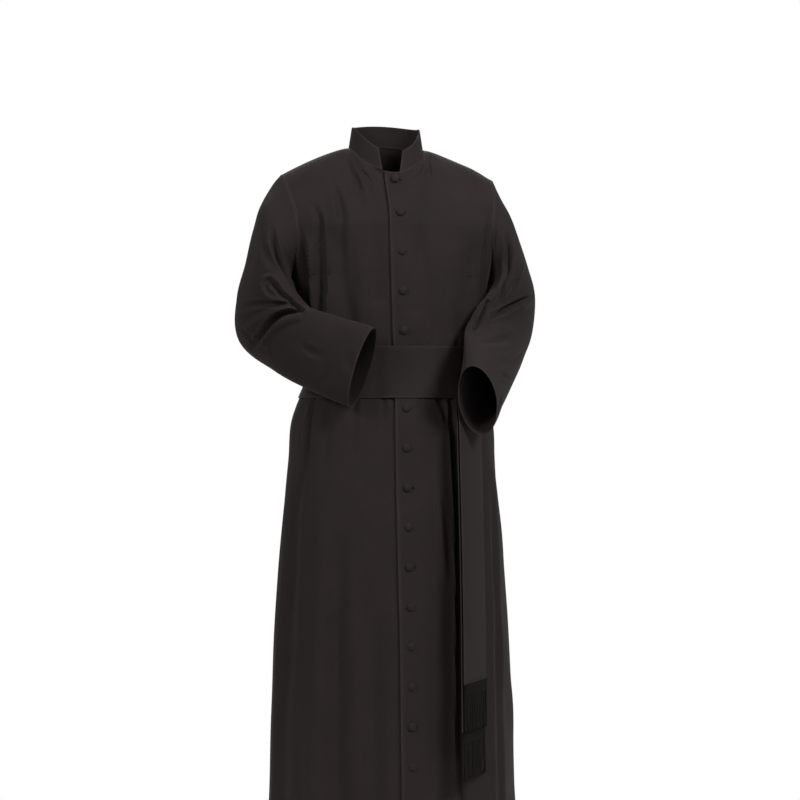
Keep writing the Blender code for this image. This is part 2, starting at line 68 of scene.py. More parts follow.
camera_data = bpy.data.cameras.new("studio_camera")
camera_data.lens = LENS
camera_data.sensor_width = 36.0
camera = bpy.data.objects.new("studio_camera", camera_data)
camera.location = EYE
camera.rotation_euler = (math.radians(90.0), 0.0, math.radians(EYE_TURN))
bpy.context.collection.objects.link(camera)
bpy.context.scene.camera = camera


def node(tree, kind, inputs, **settings):
    """A new shader node; each input gets a value or a link from another node."""
    made = tree.nodes.new("ShaderNode" + kind)
    for name, value in settings.items():
        setattr(made, name, value)
    feed(tree, made, inputs)
    return made


def feed(tree, made, inputs):
    """Gives a node's inputs their values and links."""
    for name, value in inputs.items():
        if isinstance(value, bpy.types.NodeSocket):
            tree.links.new(value, made.inputs[name])
        else:
            made.inputs[name].default_value = value


def painted(name, inputs):
    """A new material whose shader has some inputs set."""
    made = bpy.data.materials.new(name)
    made.use_nodes = True
    shader = made.node_tree.nodes["Principled BSDF"]
    feed(made.node_tree, shader, inputs)
    return made, made.node_tree, shader


bpy.ops.mesh.primitive_cylinder_add(
    vertices=128, radius=FLOOR_RADIUS, depth=FLOOR_THICK,
    location=(0.0, 0.0, cad_box[0][2] - FLOOR_DROP - FLOOR_THICK / 2),
)
floor = bpy.context.object
floor.name = "studio_floor"
bpy.ops.object.transform_apply(location=True, rotation=True, scale=True)
floor_paint, _, _ = painted(
    "floor_paint",
    {"Base Color": (0.82, 0.82, 0.81, 1.0), "Roughness": 0.9, "Specular IOR Level": 0.0},
)
floor.data.materials.append(floor_paint)

world = bpy.data.worlds.new("studio_white")
bpy.context.scene.world = world
world.use_nodes = True
tree = world.node_tree
way = node(tree, "TexCoord", {})
split = node(tree, "SeparateXYZ", {"Vector": way.outputs["Generated"]})
glow = node(tree, "MapRange", {
    "Value": split.outputs["Z"], "From Min": -1.0, "To Min": LIGHT_BELOW, "To Max": LIGHT_ABOVE,
})
seen = node(tree, "LightPath", {})
white = node(tree, "Mix", {
    "Factor": seen.outputs["Is Camera Ray"], "A": glow.outputs["Result"], "B": 1.0,
}, data_type="FLOAT")
feed(tree, tree.nodes["Background"], {
    "Strength": white.outputs["Result"], "Color": (1.0, 1.0, 1.0, 1.0),
})
for lamp_name, place, size, power, aim in (
    ("key_lamp", (1.7, -3.0, 1.7), 1.3, 165.0, (0.0, 0.0, -0.25)),
    ("fill_lamp", (-3.0, -2.2, 1.0), 1.2, 85.0, (0.0, 0.0, -0.4)),
    ("back_lamp", (0.6, 3.2, 1.9), 1.6, 85.0, (0.0, 0.0, -0.4)),
):
    lamp_data = bpy.data.lights.new(lamp_name, "AREA")
    lamp_data.shape = "DISK"
    lamp_data.size = size
    lamp_data.energy = power
    lamp = bpy.data.objects.new(lamp_name, lamp_data)
    lamp.location = place
    way = np.array(aim) - np.array(place)
    turn = math.atan2(way[1], way[0]) - math.pi / 2
    drop = math.atan2(way[2], math.hypot(way[0], way[1]))
    lamp.rotation_euler = (math.pi / 2 + drop, 0.0, turn)
    bpy.context.collection.objects.link(lamp)
bpy.context.scene.view_settings.view_transform = "Standard"

# --- Fronts -------------------------------------------------------------------
# Two long fronts of black suiting that fall from the neck and shoulder seams to the
# ankle hem. The left one laps over the right and carries the buttonholes.
CLOTH = 0.0012
FACING = 0.0016
SEAM_GAP = 0.0003
SEAM_TURN = SEAM_GAP / 2 / 0.2
STEP = 1e-4
HEM = -1.52
CHEST = -0.165
UNDERARM = -0.262
LAP_LEFT = 0.021
LAP_RIGHT = 0.019
LAP_NARROWS = 0.16
LAP_LIFT = 0.0028
LAP_LEVEL_TO = 0.022
LAP_FADE_TO = 0.055
ARMHOLE_FRONT = 0.075
ARMHOLE_BACK = 0.080
SHOULDER_TIP = (0.214, 0.012, -0.058)
SHOULDER_BOW = 1.35
SHOULDER_SHIFT = -0.005
CHEST_PULL = 11.0
SHOULDER_PULL = 0.105
NECK_SHIFT = -0.011
NECK_HALF = 0.0745
NECK_FRONT = 0.082
NECK_BACK = 0.070
NECK_THROAT_Z = -0.060
NECK_SIDE_Z = -0.003
NECK_NAPE_Z = 0.010
NECK_SHARE = 0.42
THROAT_LEAN = 0.25
NAPE_LEAN = 0.40
NECK_COLUMNS = 32
SHOULDER_COLUMNS = 34
EDGE = 0.0015
WAVE_LENGTH = 0.314
SHARP_TURN = 42.0
FOLD_REACH = 0.19
CREASE_REACH = 3.2
CREASE_STEP = 0.001
LIP_HEIGHT = 0.28
LIP_AWAY = 1.75
LIP_WIDE = 0.7
SIDE_HELD = 0.07
TOP_HELD = 0.06
CORNER_ROUNDS = 40
CHANNEL_WIDE = 0.0035
CHANNEL_DEEP = 0.0028
SWELL_SIZE = 0.10
SWELL_DEPTH = 0.0042
SWELL_SEED = 5
SWELL_WAVES = 9
BAND_TOP = -0.400
BAND_LOW = -0.500


def table(names, *rows):
    """A short table as named columns."""
    columns = zip(*rows)
    return {name: np.array(column, float) for name, column in zip(names.split(), columns)}


BODY = table(
    "height  half_width front  back   shift   square",
    (-1.520, 0.256, 0.178, 0.205, 0.0060, 2.10),
    (-1.300, 0.2515, 0.172, 0.196, 0.0060, 2.10),
    (-1.100, 0.246, 0.166, 0.186, 0.0055, 2.10),
    (-0.900, 0.237, 0.158, 0.174, 0.0040, 2.15),
    (-0.750, 0.223, 0.148, 0.162, 0.0025, 2.20),
    (-0.620, 0.208, 0.138, 0.148, 0.0020, 2.25),
    (-0.540, 0.201, 0.131, 0.138, 0.0025, 2.25),
    (-0.500, 0.187, 0.124, 0.127, 0.0035, 2.25),
    (-0.470, 0.175, 0.119, 0.119, 0.0035, 2.25),
    (-0.430, 0.170, 0.117, 0.114, 0.0030, 2.30),
    (-0.400, 0.173, 0.119, 0.114, 0.0015, 2.30),
    (-0.360, 0.180, 0.123, 0.116, -0.0010, 2.30),
    (-0.305, 0.190, 0.125, 0.121, -0.0030, 2.35),
    (-0.262, 0.200, 0.124, 0.125, -0.0040, 2.40),
    (-0.210, 0.219, 0.121, 0.127, -0.0050, 2.40),
    (-0.165, 0.232, 0.117, 0.126, -0.0050, 2.40),
)

# Long soft folds: degrees round from the centre front at the top and the low end,
# heights of both ends, half width and depth (troughs are negative).
FOLDS = table(
    "top_angle low_angle top    low    width  depth",
    (-52.0, -44.0, -0.150, -0.390, 0.0240, -0.0120),
    (-24.0, -22.0, -0.130, -0.330, 0.0260, -0.0040),
    (12.0, 10.0, -0.150, -0.350, 0.0260, -0.0030),
    (60.0, 52.0, -0.170, -0.390, 0.0240, -0.0070),
    (-30.0, -32.0, -0.720, -1.640, 0.0460, -0.0100),
    (-8.0, -12.0, -0.560, -1.640, 0.0300, 0.0030),
    (27.0, 22.0, -0.600, -1.640, 0.0300, -0.0050),
    (-75.0, -66.0, -0.500, -1.640, 0.0380, -0.0090),
    (78.0, 72.0, -0.620, -1.640, 0.0420, -0.0090),
    (112.0, 118.0, -0.520, -1.640, 0.0420, -0.0130),
    (-108.0, -116.0, -0.500, -1.640, 0.0420, -0.0130),
    (143.0, 146.0, -0.540, -1.640, 0.0440, -0.0140),
    (-146.0, -147.0, -0.520, -1.640, 0.0440, -0.0140),
    (174.0, 178.0, -0.500, -1.640, 0.0460, -0.0120),
    (150.0, 158.0, -0.170, -0.400, 0.0280, -0.0070),
    (-150.0, -157.0, -0.180, -0.400, 0.0280, -0.0070),
)


def smooth(where, places, values):
    """A smooth curve through a table's column."""
    where = np.asarray(where, float)
    slopes = np.gradient(values, places)
    i = np.clip(np.searchsorted(places, where) - 1, 0, len(places) - 2)
    span = places[i + 1] - places[i]
    t = (where - places[i]) / span
    inside = np.clip(t, 0.0, 1.0)
    curve = (
        (2 * inside**3 - 3 * inside**2 + 1) * values[i]
        + (inside**3 - 2 * inside**2 + inside) * span * slopes[i]
        + (3 * inside**2 - 2 * inside**3) * values[i + 1]
        + (inside**3 - inside**2) * span * slopes[i + 1]
    )
    past = (t - inside) * span
    return curve + past * np.where(t > 1, slopes[i + 1], slopes[i])


def ease(low, high, value):
    """0 below low, 1 above high, smooth between."""
    t = np.clip((value - low) / (high - low), 0.0, 1.0)
    return t * t * (3 - 2 * t)


def body(name, height):
    return smooth(height, BODY["height"], BODY[name])


def radius(angle, height):
    """The body form's reach at an angle round from the centre front."""
    square = body("square", height)
    deep_side = np.where(np.cos(angle) > 0, body("front", height), body("back", height))
    across = np.abs(np.sin(angle) / body("half_width", height)) ** square
    deep = np.abs(np.cos(angle) / deep_side) ** square
    return (across + deep) ** (-1 / square)


def fold_lift(angle, height):
    """How far the long folds move the cloth in or out."""
    lift = np.zeros(np.broadcast(angle, height).shape)
    for top_angle, low_angle, top, low, width, depth in zip(*FOLDS.values()):
        share = np.clip((top - height) / (top - low), 0.0, 1.0)
        middle = np.radians(top_angle + (low_angle - top_angle) * share)
        away = (angle - middle + np.pi) % (2 * np.pi) - np.pi
        ends = ease(0.0, 0.3, share) * ease(0.0, 0.12, (height - low) / (top - low))
        lift += depth * ends * np.exp(-((away * FOLD_REACH / width) ** 2))
    return lift


def skin(angle, height, folded=1.0):
    """A point of the body form at an angle and height."""
    reach = radius(angle, height) + folded * fold_lift(angle, height)
    x = body("shift", height) + reach * np.sin(angle)
    return np.stack([x, -reach * np.cos(angle), height + 0 * x], axis=-1)


def angle_at(across, height):
    """The angle of the front point that lies `across` from the centre line."""
    square = body("square", height)
    share = np.abs(across / body("half_width", height)) ** square
    deep = body("front", height) * (1 - share) ** (1 / square)
    return np.arctan2(across, deep)


def armhole_angle(height, half_depth, back):
    """Where a panel's side edge lies: the side seam, then the lower armhole."""
    share = np.clip((CHEST - height) / (CHEST - UNDERARM), 0.0, 1.0)
    deep = half_depth * np.sqrt(1 - share**2)
    full = body("back", height) if back else body("front", height)
    square = body("square", height)
    wide = body("half_width", height) * (1 - (deep / full) ** square) ** (1 / square)
    angle = np.arctan2(wide, deep)
    return np.pi - angle if back else angle


def neck(angle):
    """A point of the neck seam at an angle round from the throat."""
    deep = np.where(np.cos(angle) > 0, NECK_FRONT, NECK_BACK)
    end = np.where(np.cos(angle) > 0, NECK_THROAT_Z, NECK_NAPE_Z)
    x = NECK_SHIFT + NECK_HALF * np.sin(angle)
    z = NECK_SIDE_Z + (end - NECK_SIDE_Z) * np.abs(np.cos(angle)) ** 1.6
    return np.stack([x, -deep * np.cos(angle), z], axis=-1)


def top_edge(share, side, back):
    """Neck seam, then shoulder seam, and the way the cloth meets them."""
    quarter = np.pi / 2 - SEAM_GAP / NECK_HALF
    on_neck = np.clip(share / NECK_SHARE, 0.0, 1.0)
    angle = side * quarter * on_neck
    if back:
        angle = side * (np.pi - quarter * on_neck)
    run = np.clip((share - NECK_SHARE) / (1 - NECK_SHARE), 0.0, 1.2)
    tip_x, tip_y, tip_z = SHOULDER_TIP
    shift = NECK_SHIFT + (SHOULDER_SHIFT - NECK_SHIFT) * run
    x = shift + side * (NECK_HALF + (tip_x - NECK_HALF) * run)
    z = NECK_SIDE_Z + (tip_z - NECK_SIDE_Z) * run**SHOULDER_BOW
    y = tip_y * run + SEAM_GAP / 2 * (1 if back else -1)
    at_shoulder = np.stack([x, y, z], axis=-1)
    point = np.where((share < NECK_SHARE)[..., None], neck(angle), at_shoulder)
    flat = ease(0.0, 1.0, share / NECK_SHARE)
    lean = NAPE_LEAN if back else THROAT_LEAN
    back_way = (lean + (1 - lean) * flat) * (-1 if back else 1)
    toward = np.stack([0 * flat, back_way, 1 - flat], axis=-1)
    return point, toward / np.linalg.norm(toward, axis=-1, keepdims=True)


def panel_point(across, up, back):
    """A point of the fronts or the back. `across` runs from 0 at the middle to 1 at
    the left side edge and -1 at the right one; `up` is the height above the chest
    line and, over it, the share of the way to the neck and shoulder seams."""
    side = np.where(across < 0, -1.0, 1.0)
    share = np.abs(across)
    height = CHEST + np.minimum(up, 0.0)
    half_depth = ARMHOLE_BACK if back else ARMHOLE_FRONT
    limit = armhole_angle(height, half_depth, back) + SEAM_TURN * (1 if back else -1)
    angle = side * (np.pi - (np.pi - limit) * share) if back else side * limit * share
    lower = skin(angle, height)
    level = CHEST + 0 * height
    chest = skin(angle, level)
    rise = (skin(angle, level, 0.0) - skin(angle, level - 0.01, 0.0)) * CHEST_PULL
    top, toward = top_edge(share, side, back)
    t = np.clip(up, 0.0, 1.0 + 2 * STEP)[..., None]
    upper = (
        (2 * t**3 - 3 * t**2 + 1) * chest
        + (t**3 - 2 * t**2 + t) * rise
        + (3 * t**2 - 2 * t**3) * top
        + (t**3 - t**2) * toward * SHOULDER_PULL
    )
    return np.where((up > 0)[..., None], upper, lower)


def front_point(u, v):
    return panel_point(u, v, False)


def lap_share(width, up):
    """Where a lap edge lies, as a share of the way from the middle to the side: a
    straight line that nears the middle a little toward the throat."""
    height = CHEST + np.minimum(up, 0.0)
    share = angle_at(width, height) / armhole_angle(height, ARMHOLE_FRONT, False)
    above = np.clip(up, 0.0, 1.0)
    wanted = width * (1 - LAP_NARROWS * above)
    middle = front_point(0 * share, up)[..., 0]
    for _ in range(5):
        found = front_point(share, up)[..., 0] - middle
        share = np.where(up > 0, share * wanted / found, share)
    return share


def lap_lift(points):
    """How far the left front stands off to lie over the right one."""
    height = np.clip(points[..., 2], HEM, CHEST)
    across = points[..., 0] - body("shift", height)
    return LAP_LIFT * (1 - ease(LAP_LEVEL_TO, LAP_FADE_TO, across))


def unit(vectors):
    return vectors / np.linalg.norm(vectors, axis=-1, keepdims=True)


def outward(point, u, v, sign):
    """Unit normals of a point function over its two parameters."""
    along = point(u + STEP, v) - point(u - STEP, v)
    up = point(u, v + STEP) - point(u, v - STEP)
    return unit(np.cross(along, up)) * sign


def chains(text):
    """Creases written as text, one to a line or lines joined by a > at the end. Each is
    a chain of places parted by >, each place x y z, half width and depth in millimetres;
    a trough has a negative depth."""
    text = text.replace(">\n", ">")
    lines = [line.split("#")[0] for line in text.splitlines()]
    return [
        np.array([place.split() for place in line.split(">")], float)
        for line in lines if line.strip()
    ]


def creased(points, normals, creases):
    """Presses creases into cloth, each with soft lips."""
    moved = np.zeros(points.shape[:-1])
    for crease in creases:
        chain = crease / 1000
        steps = np.linalg.norm(np.diff(chain[:, :3], axis=0), axis=1)
        run = np.concatenate([[0.0], np.cumsum(steps)])
        fine = np.linspace(0, run[-1], max(8, int(run[-1] / CREASE_STEP)))
        line = np.stack([smooth(fine, run, chain[:, k]) for k in range(5)], axis=-1)
        width = np.clip(line[:, 3], 0.0015, None)
        reach = CREASE_REACH * width.max()
        inside = (points > line[:, :3].min(0) - reach) & (points < line[:, :3].max(0) + reach)
        inside = inside.all(axis=-1)
        here = points[inside]
        away = np.linalg.norm(here[:, None] - line[None, :, :3], axis=-1)
        nearest = away.argmin(axis=1)
        share = away[np.arange(len(here)), nearest] / width[nearest]
        lips = LIP_HEIGHT * np.exp(-(((share - LIP_AWAY) / LIP_WIDE) ** 2))
        moved[inside] += line[nearest, 4] * (np.exp(-(share**2)) - lips)
    return points + normals * moved[..., None]


def rippled(points, normals):
    """Lays a faint uneven swell over cloth, as hanging cloth is never quite true; it
    dies out under the waistband."""
    draw = np.random.default_rng(SWELL_SEED)
    swell = np.zeros(points.shape[:-1])
    for _ in range(SWELL_WAVES):
        way = unit(draw.normal(size=3) * (1.0, 1.0, 0.45)) * 2 * np.pi / SWELL_SIZE
        swell += np.sin(points @ (way * draw.uniform(0.6, 1.7)) + draw.uniform(0, 2 * np.pi))
    from_band = np.abs(points[..., 2] - (BAND_TOP + BAND_LOW) / 2)
    depth = SWELL_DEPTH * ease(0.045, 0.09, from_band)
    return points + normals * (swell / SWELL_WAVES * depth)[..., None]


def settled(points, normals, creases, free):
    """Swells and creases cloth where it is free of its seams (0 held, 1 free)."""
    moved = creased(rippled(points, normals), normals, creases)
    return points + (moved - points) * free[..., None]


def eased_corner(points, up):
    """Rounds off the ridge that the corner between neck and shoulder seam would send
    down a panel; its edges stay where they are."""
    share = (ease(0.0, 0.12, 1 - up) * ease(-0.05, 0.15, up))[:, 1:-1, None]
    for _ in range(CORNER_ROUNDS):
        middle = (points[:, :-2] + points[:, 2:]) / 2
        points[:, 1:-1] += (middle - points[:, 1:-1]) * share * 0.5
    return points


def on_cloth(creases, points):
    """The same creases with each place moved to the nearest point of a cloth."""
    flat = points.reshape(-1, 3) * 1000
    moved = []
    for crease in creases:
        places = crease.copy()
        away = np.linalg.norm(places[:, None, :3] - flat[None], axis=-1)
        places[:, :3] = flat[away.argmin(axis=1)]
        moved.append(places)
    return moved


def panel_free(across, up):
    """How free a front's or the back's cloth is: its side, neck and shoulder edges
    are held by their seams."""
    return ease(0.0, SIDE_HELD, 1 - np.abs(across)) * ease(0.0, TOP_HELD, 1 - up)


def cloth_object(name, outer, inner, closed, material, edge_paling=0.004):
    """A thin cloth wall with rolled rims between two grids of points, with the cut's
    own metres as its UV map and a point attribute for its edges and rims painted paler."""
    rows, columns = outer.shape[:2]
    count = rows * columns
    number = np.arange(count).reshape(rows, columns)
    wide = np.concatenate([number, number[:, :1]], axis=1) if closed else number
    a, b, e, f = wide[:-1, :-1], wide[:-1, 1:], wide[1:, 1:], wide[1:, :-1]
    quads = np.stack([a, b, e, f], axis=-1).reshape(-1, 4)
    ring = np.concatenate([outer, outer[:, :1]], axis=1) if closed else outer
    step_u = np.linalg.norm(np.diff(ring, axis=1), axis=-1)
    step_v = np.linalg.norm(np.diff(ring, axis=0), axis=-1).mean(axis=1)
    u = np.concatenate([np.zeros((rows, 1)), np.cumsum(step_u, axis=1)], axis=1)
    u = u - u[:, -1:] / 2
    v = np.concatenate([[0.0], np.cumsum(step_v)])
    uv = np.stack([u, np.repeat(v[:, None], u.shape[1], axis=1)], axis=-1)
    flat_uv = np.concatenate([uv[:-1, :-1], uv[:-1, 1:], uv[1:, 1:], uv[1:, :-1]], axis=-1)
    quad_uv = flat_uv.reshape(-1, 4, 2)
    if closed:
        loops = [number[0], number[-1][::-1]]
    else:
        loops = [
            np.concatenate(
                [number[0, :-1], number[:-1, -1], number[-1, :0:-1], number[:0:-1, 0]]
            )
        ]
    points = [outer.reshape(-1, 3), inner.reshape(-1, 3)]
    faces = [quads, quads[:, ::-1] + count]
    face_uv = [quad_uv, quad_uv[:, ::-1]]
    plain_uv = uv[:, :columns].reshape(-1, 2)
    total = 2 * count
    edge_in = np.empty_like(outer)
    edge_in[0], edge_in[-1] = outer[1], outer[-2]
    if not closed:
        edge_in[1:-1, 0], edge_in[1:-1, -1] = outer[1:-1, 1], outer[1:-1, -2]
        edge_in[0, 0], edge_in[0, -1] = outer[1, 1], outer[1, -2]
        edge_in[-1, 0], edge_in[-1, -1] = outer[-2, 1], outer[-2, -2]
    for loop in loops:
        face_side, back_side = points[0][loop], points[1][loop]
        away = unit(face_side - edge_in.reshape(-1, 3)[loop])
        deep = np.linalg.norm(face_side - back_side, axis=1, keepdims=True)
        points.append((face_side + back_side) / 2 + away * deep * 0.45)
        here = np.arange(len(loop)) + total
        total += len(loop)
        after, here_after = np.roll(loop, -1), np.roll(here, -1)
        rim = [
            np.stack([after, loop, here, here_after], axis=-1),
            np.stack([here_after, here, loop + count, after + count], axis=-1),
        ]
        rim_uv = plain_uv[np.stack([after, loop, loop, after], axis=-1)]
        faces.extend(rim)
        face_uv.extend([rim_uv, rim_uv])
    points, faces = np.concatenate(points), np.concatenate(faces)
    face_uv = np.concatenate(face_uv)
    mesh = bpy.data.meshes.new(name)
    mesh.from_pydata(points.tolist(), [], faces.tolist())
    mesh.uv_layers.new(name="cut").data.foreach_set("uv", face_uv.reshape(-1))
    to_edge = np.minimum(v, v[-1] - v)[:, None] + np.zeros(columns)
    if not closed:
        to_edge = np.minimum(to_edge, (u - u[:, :1])[:, :columns])
        to_edge = np.minimum(to_edge, (u[:, -1:] - u)[:, :columns])
    # Edges and rims are marked for a colour painted a little paler there.
    paling = np.ones(len(points))
    paling[: 2 * count] = np.tile(1 - ease(0.0, edge_paling, to_edge).reshape(-1), 2)
    mesh.attributes.new("edge_paling", "FLOAT", "POINT").data.foreach_set("value", paling)
    mesh.materials.append(material)
    mesh.shade_smooth()
    mesh.set_sharp_from_angle(angle=math.radians(SHARP_TURN))
    made = bpy.data.objects.new(name, mesh)
    bpy.context.collection.objects.link(made)
    return made


def woven(name, thread, tone, pitch, slant, rib, rough, sheen, shine):
    """Woven cloth: slanted twill lines or cross ribs, uneven threads, cloudy dye and
    edges painted a little paler."""
    made, tree, shader = painted(name, {
        "Specular IOR Level": shine, "Sheen Weight": sheen, "Sheen Roughness": 0.45,
        "Sheen Tint": (*tone, 1.0),
    })
    cut = node(tree, "UVMap", {}, uv_map="cut").outputs["UV"]
    turned = node(tree, "Mapping", {"Vector": cut, "Rotation": (0.0, 0.0, math.radians(slant))})
    twill = node(tree, "TexWave", {
        "Vector": turned.outputs["Vector"], "Scale": WAVE_LENGTH / pitch, "Distortion": 0.6,
        "Detail Scale": 1.5,
    })
    drawn = node(tree, "Mapping", {"Vector": cut, "Scale": (1.0, 0.12, 1.0)})
    threads = node(tree, "TexNoise", {
        "Vector": drawn.outputs["Vector"], "Scale": 0.9 / pitch, "Detail": 3.0,
    })
    cloud = node(tree, "TexNoise", {"Vector": cut, "Scale": 14.0, "Detail": 4.0}).outputs["Fac"]
    long_way = node(tree, "Mapping", {"Vector": cut, "Scale": (1.0, 0.4, 1.0)})
    crumple = node(tree, "TexNoise", {
        "Vector": long_way.outputs["Vector"], "Scale": 38.0, "Detail": 3.0,
    })
    grain = node(tree, "Mix", {
        "Factor": 0.45, "A": threads.outputs["Fac"], "B": cloud,
    }, data_type="FLOAT")
    dye = node(tree, "ValToRGB", {"Fac": grain.outputs["Result"]})
    for stop, place, share in zip(dye.color_ramp.elements, (0.25, 0.75), (0.78, 1.18)):
        stop.position = place
        stop.color = (*(share * c for c in thread), 1.0)
    # Edges and rims are painted a little paler, unevenly.
    edge_paling = node(tree, "Attribute", {}, attribute_name="edge_paling")
    paling_amount = node(tree, "Math", {}, operation="MULTIPLY")
    tree.links.new(edge_paling.outputs["Fac"], paling_amount.inputs[0])
    tree.links.new(cloud, paling_amount.inputs[1])
    paler = node(tree, "Mix", {
        "Factor": paling_amount.outputs["Value"], "A": dye.outputs["Color"],
        "B": (*(1.9 * c for c in thread), 1.0),
    }, data_type="RGBA")
    matte = node(tree, "MapRange", {"Value": cloud, "To Min": rough - 0.07, "To Max": rough + 0.07})
    feed(tree, shader, {
        "Base Color": paler.outputs["Result"], "Roughness": matte.outputs["Result"],
    })
    for texture, strength, distance in (
        (crumple, 0.35, 0.0015), (threads, 0.35, 0.00012), (twill, rib, 0.00018)
    ):
        bump = node(tree, "Bump", {
            "Strength": strength, "Distance": distance, "Height": texture.outputs["Fac"],
        })
        if texture is not crumple:
            tree.links.new(under, bump.inputs["Normal"])
        under = bump.outputs["Normal"]
    tree.links.new(under, shader.inputs["Normal"])
    return made


def panel_rows():
    """Rows of a panel from hem to shoulder, close together at both ends and where
    the armhole turns."""
    low = np.concatenate(
        [[HEM, HEM + EDGE], np.linspace(HEM, -0.56, 140)[1:], np.linspace(-0.56, UNDERARM, 74)[1:-1]]
    )
    round_armhole = CHEST - (CHEST - UNDERARM) * np.cos(np.linspace(0, np.pi / 2, 44))
    top = np.concatenate([np.linspace(0, 1, 36)[1:-1], [0.992, 1.0]])
    return np.concatenate([np.concatenate([low, round_armhole]) - CHEST, top])


def panel_columns():
    """Even columns below the neck seam, then below the shoulder seam."""
    inner = np.linspace(0, NECK_SHARE, NECK_COLUMNS + 1)
    outer = np.linspace(NECK_SHARE, 1, SHOULDER_COLUMNS + 1)[1:-1]
    return np.concatenate([inner, outer, [0.992, 1.0]])


FRONT_CREASES = chains("""
    # the deep fall beside the right armhole, the drape in front of it and its ridge
    -214 -65 -140 6 -3 > -198 -74 -187 8 -9 > -188 -72 -237 9 -13 > -182 -63 -285 9 -15 >
      -178 -52 -325 9 -12 > -172 -50 -370 9 -2
    -174 -74 -116 5 0 > -163 -91 -147 6 -7 > -161 -93 -192 7.5 -10 > -160 -93 -226 8.5 -12 >
      -158 -89 -278 8.5 -13 > -156 -78 -329 8.5 -12 > -155 -70 -368 8 -4
    -181 -85 -187 6 0 > -176 -84 -226 6 4 > -172 -80 -272 6 5 > -168 -74 -326 6 4 >
      -162 -69 -360 6 1
    -134 -61 -77 6 0 > -123 -85 -111 7 -6 > -119 -100 -139 8 -8 > -122 -103 -192 10 -4 >
      -125 -98 -238 11 0
    # from the collar down over both collar bones
    -99 -32 -27 4 -1 > -91 -56 -54 5 -5 > -85 -72 -77 6 -6 > -81 -91 -108 8 -4 >
      -83 -105 -137 9 0
    -72 -70 -59 3 -2 > -63 -83 -70 3 -3 > -53 -91 -84 4 0
    -56 -79 -62 3 -2 > -48 -87 -76 3 -2 > -43 -95 -92 4 0
    53 -65 -43 3 -2 > 39 -81 -63 4 -3 > 25 -89 -76 4 0
    72 -34 -26 4 -2 > 63 -54 -49 4 -4 > 49 -81 -69 5 0
    52 -61 -37 2.5 0 > 45 -73 -52 2.5 1.5 > 35 -83 -65 3 0
    84 -28 -22 3.5 -1 > 78 -46 -48 4 -3.5 > 70 -66 -72 5 -2 > 62 -80 -96 6 0
    96 -20 -26 3 -1 > 97 -42 -52 4 -2.5 > 96 -60 -78 5 0
    -96 -14 -22 3 -1 > -108 -34 -46 4 -2.5 > -112 -54 -70 5 0
    # slight vertical falls over the chest and the waist
    37 -115 -155 9 0 > 34 -120 -213 11 -4 > 36 -123 -278 12 0
    137 -95 -225 3 0 > 140 -90 -258 3 -1.8 > 136 -89 -294 3 0
    121 -100 -279 3.5 0 > 117 -100 -308 3.5 -2 > 109 -102 -344 4 0
    -54 -118 -267 3.5 0 > -52 -119 -305 3.5 -1.8 > -55 -121 -344 4 0
    83 -117 -251 4 0 > 85 -116 -290 4 -1.5 > 81 -116 -329 4 0
    -98 -110 -180 7 0 > -96 -114 -250 8 -2.5 > -92 -114 -330 9 0
    190 -70 -120 5 -1 > 184 -78 -152 6 -3 > 174 -82 -188 8 -6 > 171 -80 -219 9 -7 >
      170 -70 -270 9 -7 > 168 -60 -320 9 -5 > 160 -62 -360 9 0
    # fullness held by the waistband, above and below it
    -70 -112 -396 5 -3 > -66 -118 -340 8 0
    60 -112 -396 5 -2 > 58 -117 -345 8 0
    110 -95 -396 6 -4 > 112 -100 -335 8 0
    -120 -90 -396 6 -4 > -124 -96 -345 8 0
    -40 -122 -504 5 -2.5 > -42 -129 -590 9 0
    -95 -112 -504 6 -4 > -99 -118 -560 8 -2.5 > -106 -124 -660 11 0
    30 -123 -504 5 -2.5 > 32 -131 -600 9 0
    72 -120 -504 6 -4 > 84 -122 -533 6 -5 > 92 -124 -562 7 -2
    -140 -95 -504 8 -3 > -149 -100 -581 10 -4 > -156 -99 -660 12 0
    -163 -59 -500 5 -6 > -172 -70 -535 6 -9 > -179 -72 -582 6 -7 > -186 -64 -650 8 -3 >
      -194 -58 -730 10 0
    # skirt falls
    62 -138 -670 6 0 > 67 -141 -749 7 5 > 73 -143 -813 7 4 > 76 -145 -870 8 0
    96 -117 -505 5 -6 > 99 -122 -556 6 -12 > 102 -128 -640 6 -13 > 105 -134 -737 6 -13 >
      106 -143 -891 6 -12 > 105 -151 -1082 6 -12 > 106 -157 -1255 7 -9 > 108 -161 -1420 9 -6 >
      109 -164 -1545 10 -5
    -192 -55 -640 14 0 > -204 -53 -776 16 -6 > -214 -56 -932 18 -8 > -225 -49 -1088 20 -8 >
      -231 -49 -1263 20 -8 > -237 -45 -1545 22 -7
    183 -80 -642 9 0 > 189 -91 -780 9 -5 > 192 -102 -936 9 -6 > 194 -108 -1093 10 -6 >
      194 -115 -1268 10 -5 > 199 -119 -1545 12 -5
    -129 -124 -749 18 0 > -132 -129 -848 18 -9 > -135 -132 -962 20 -15 > -137 -136 -1115 23 -17 >
      -140 -139 -1266 26 -17 > -143 -140 -1545 30 -14
    -60 -135 -860 12 0 > -64 -142 -1010 14 -4 > -62 -150 -1220 16 -5 > -67 -156 -1545 18 -5
""")

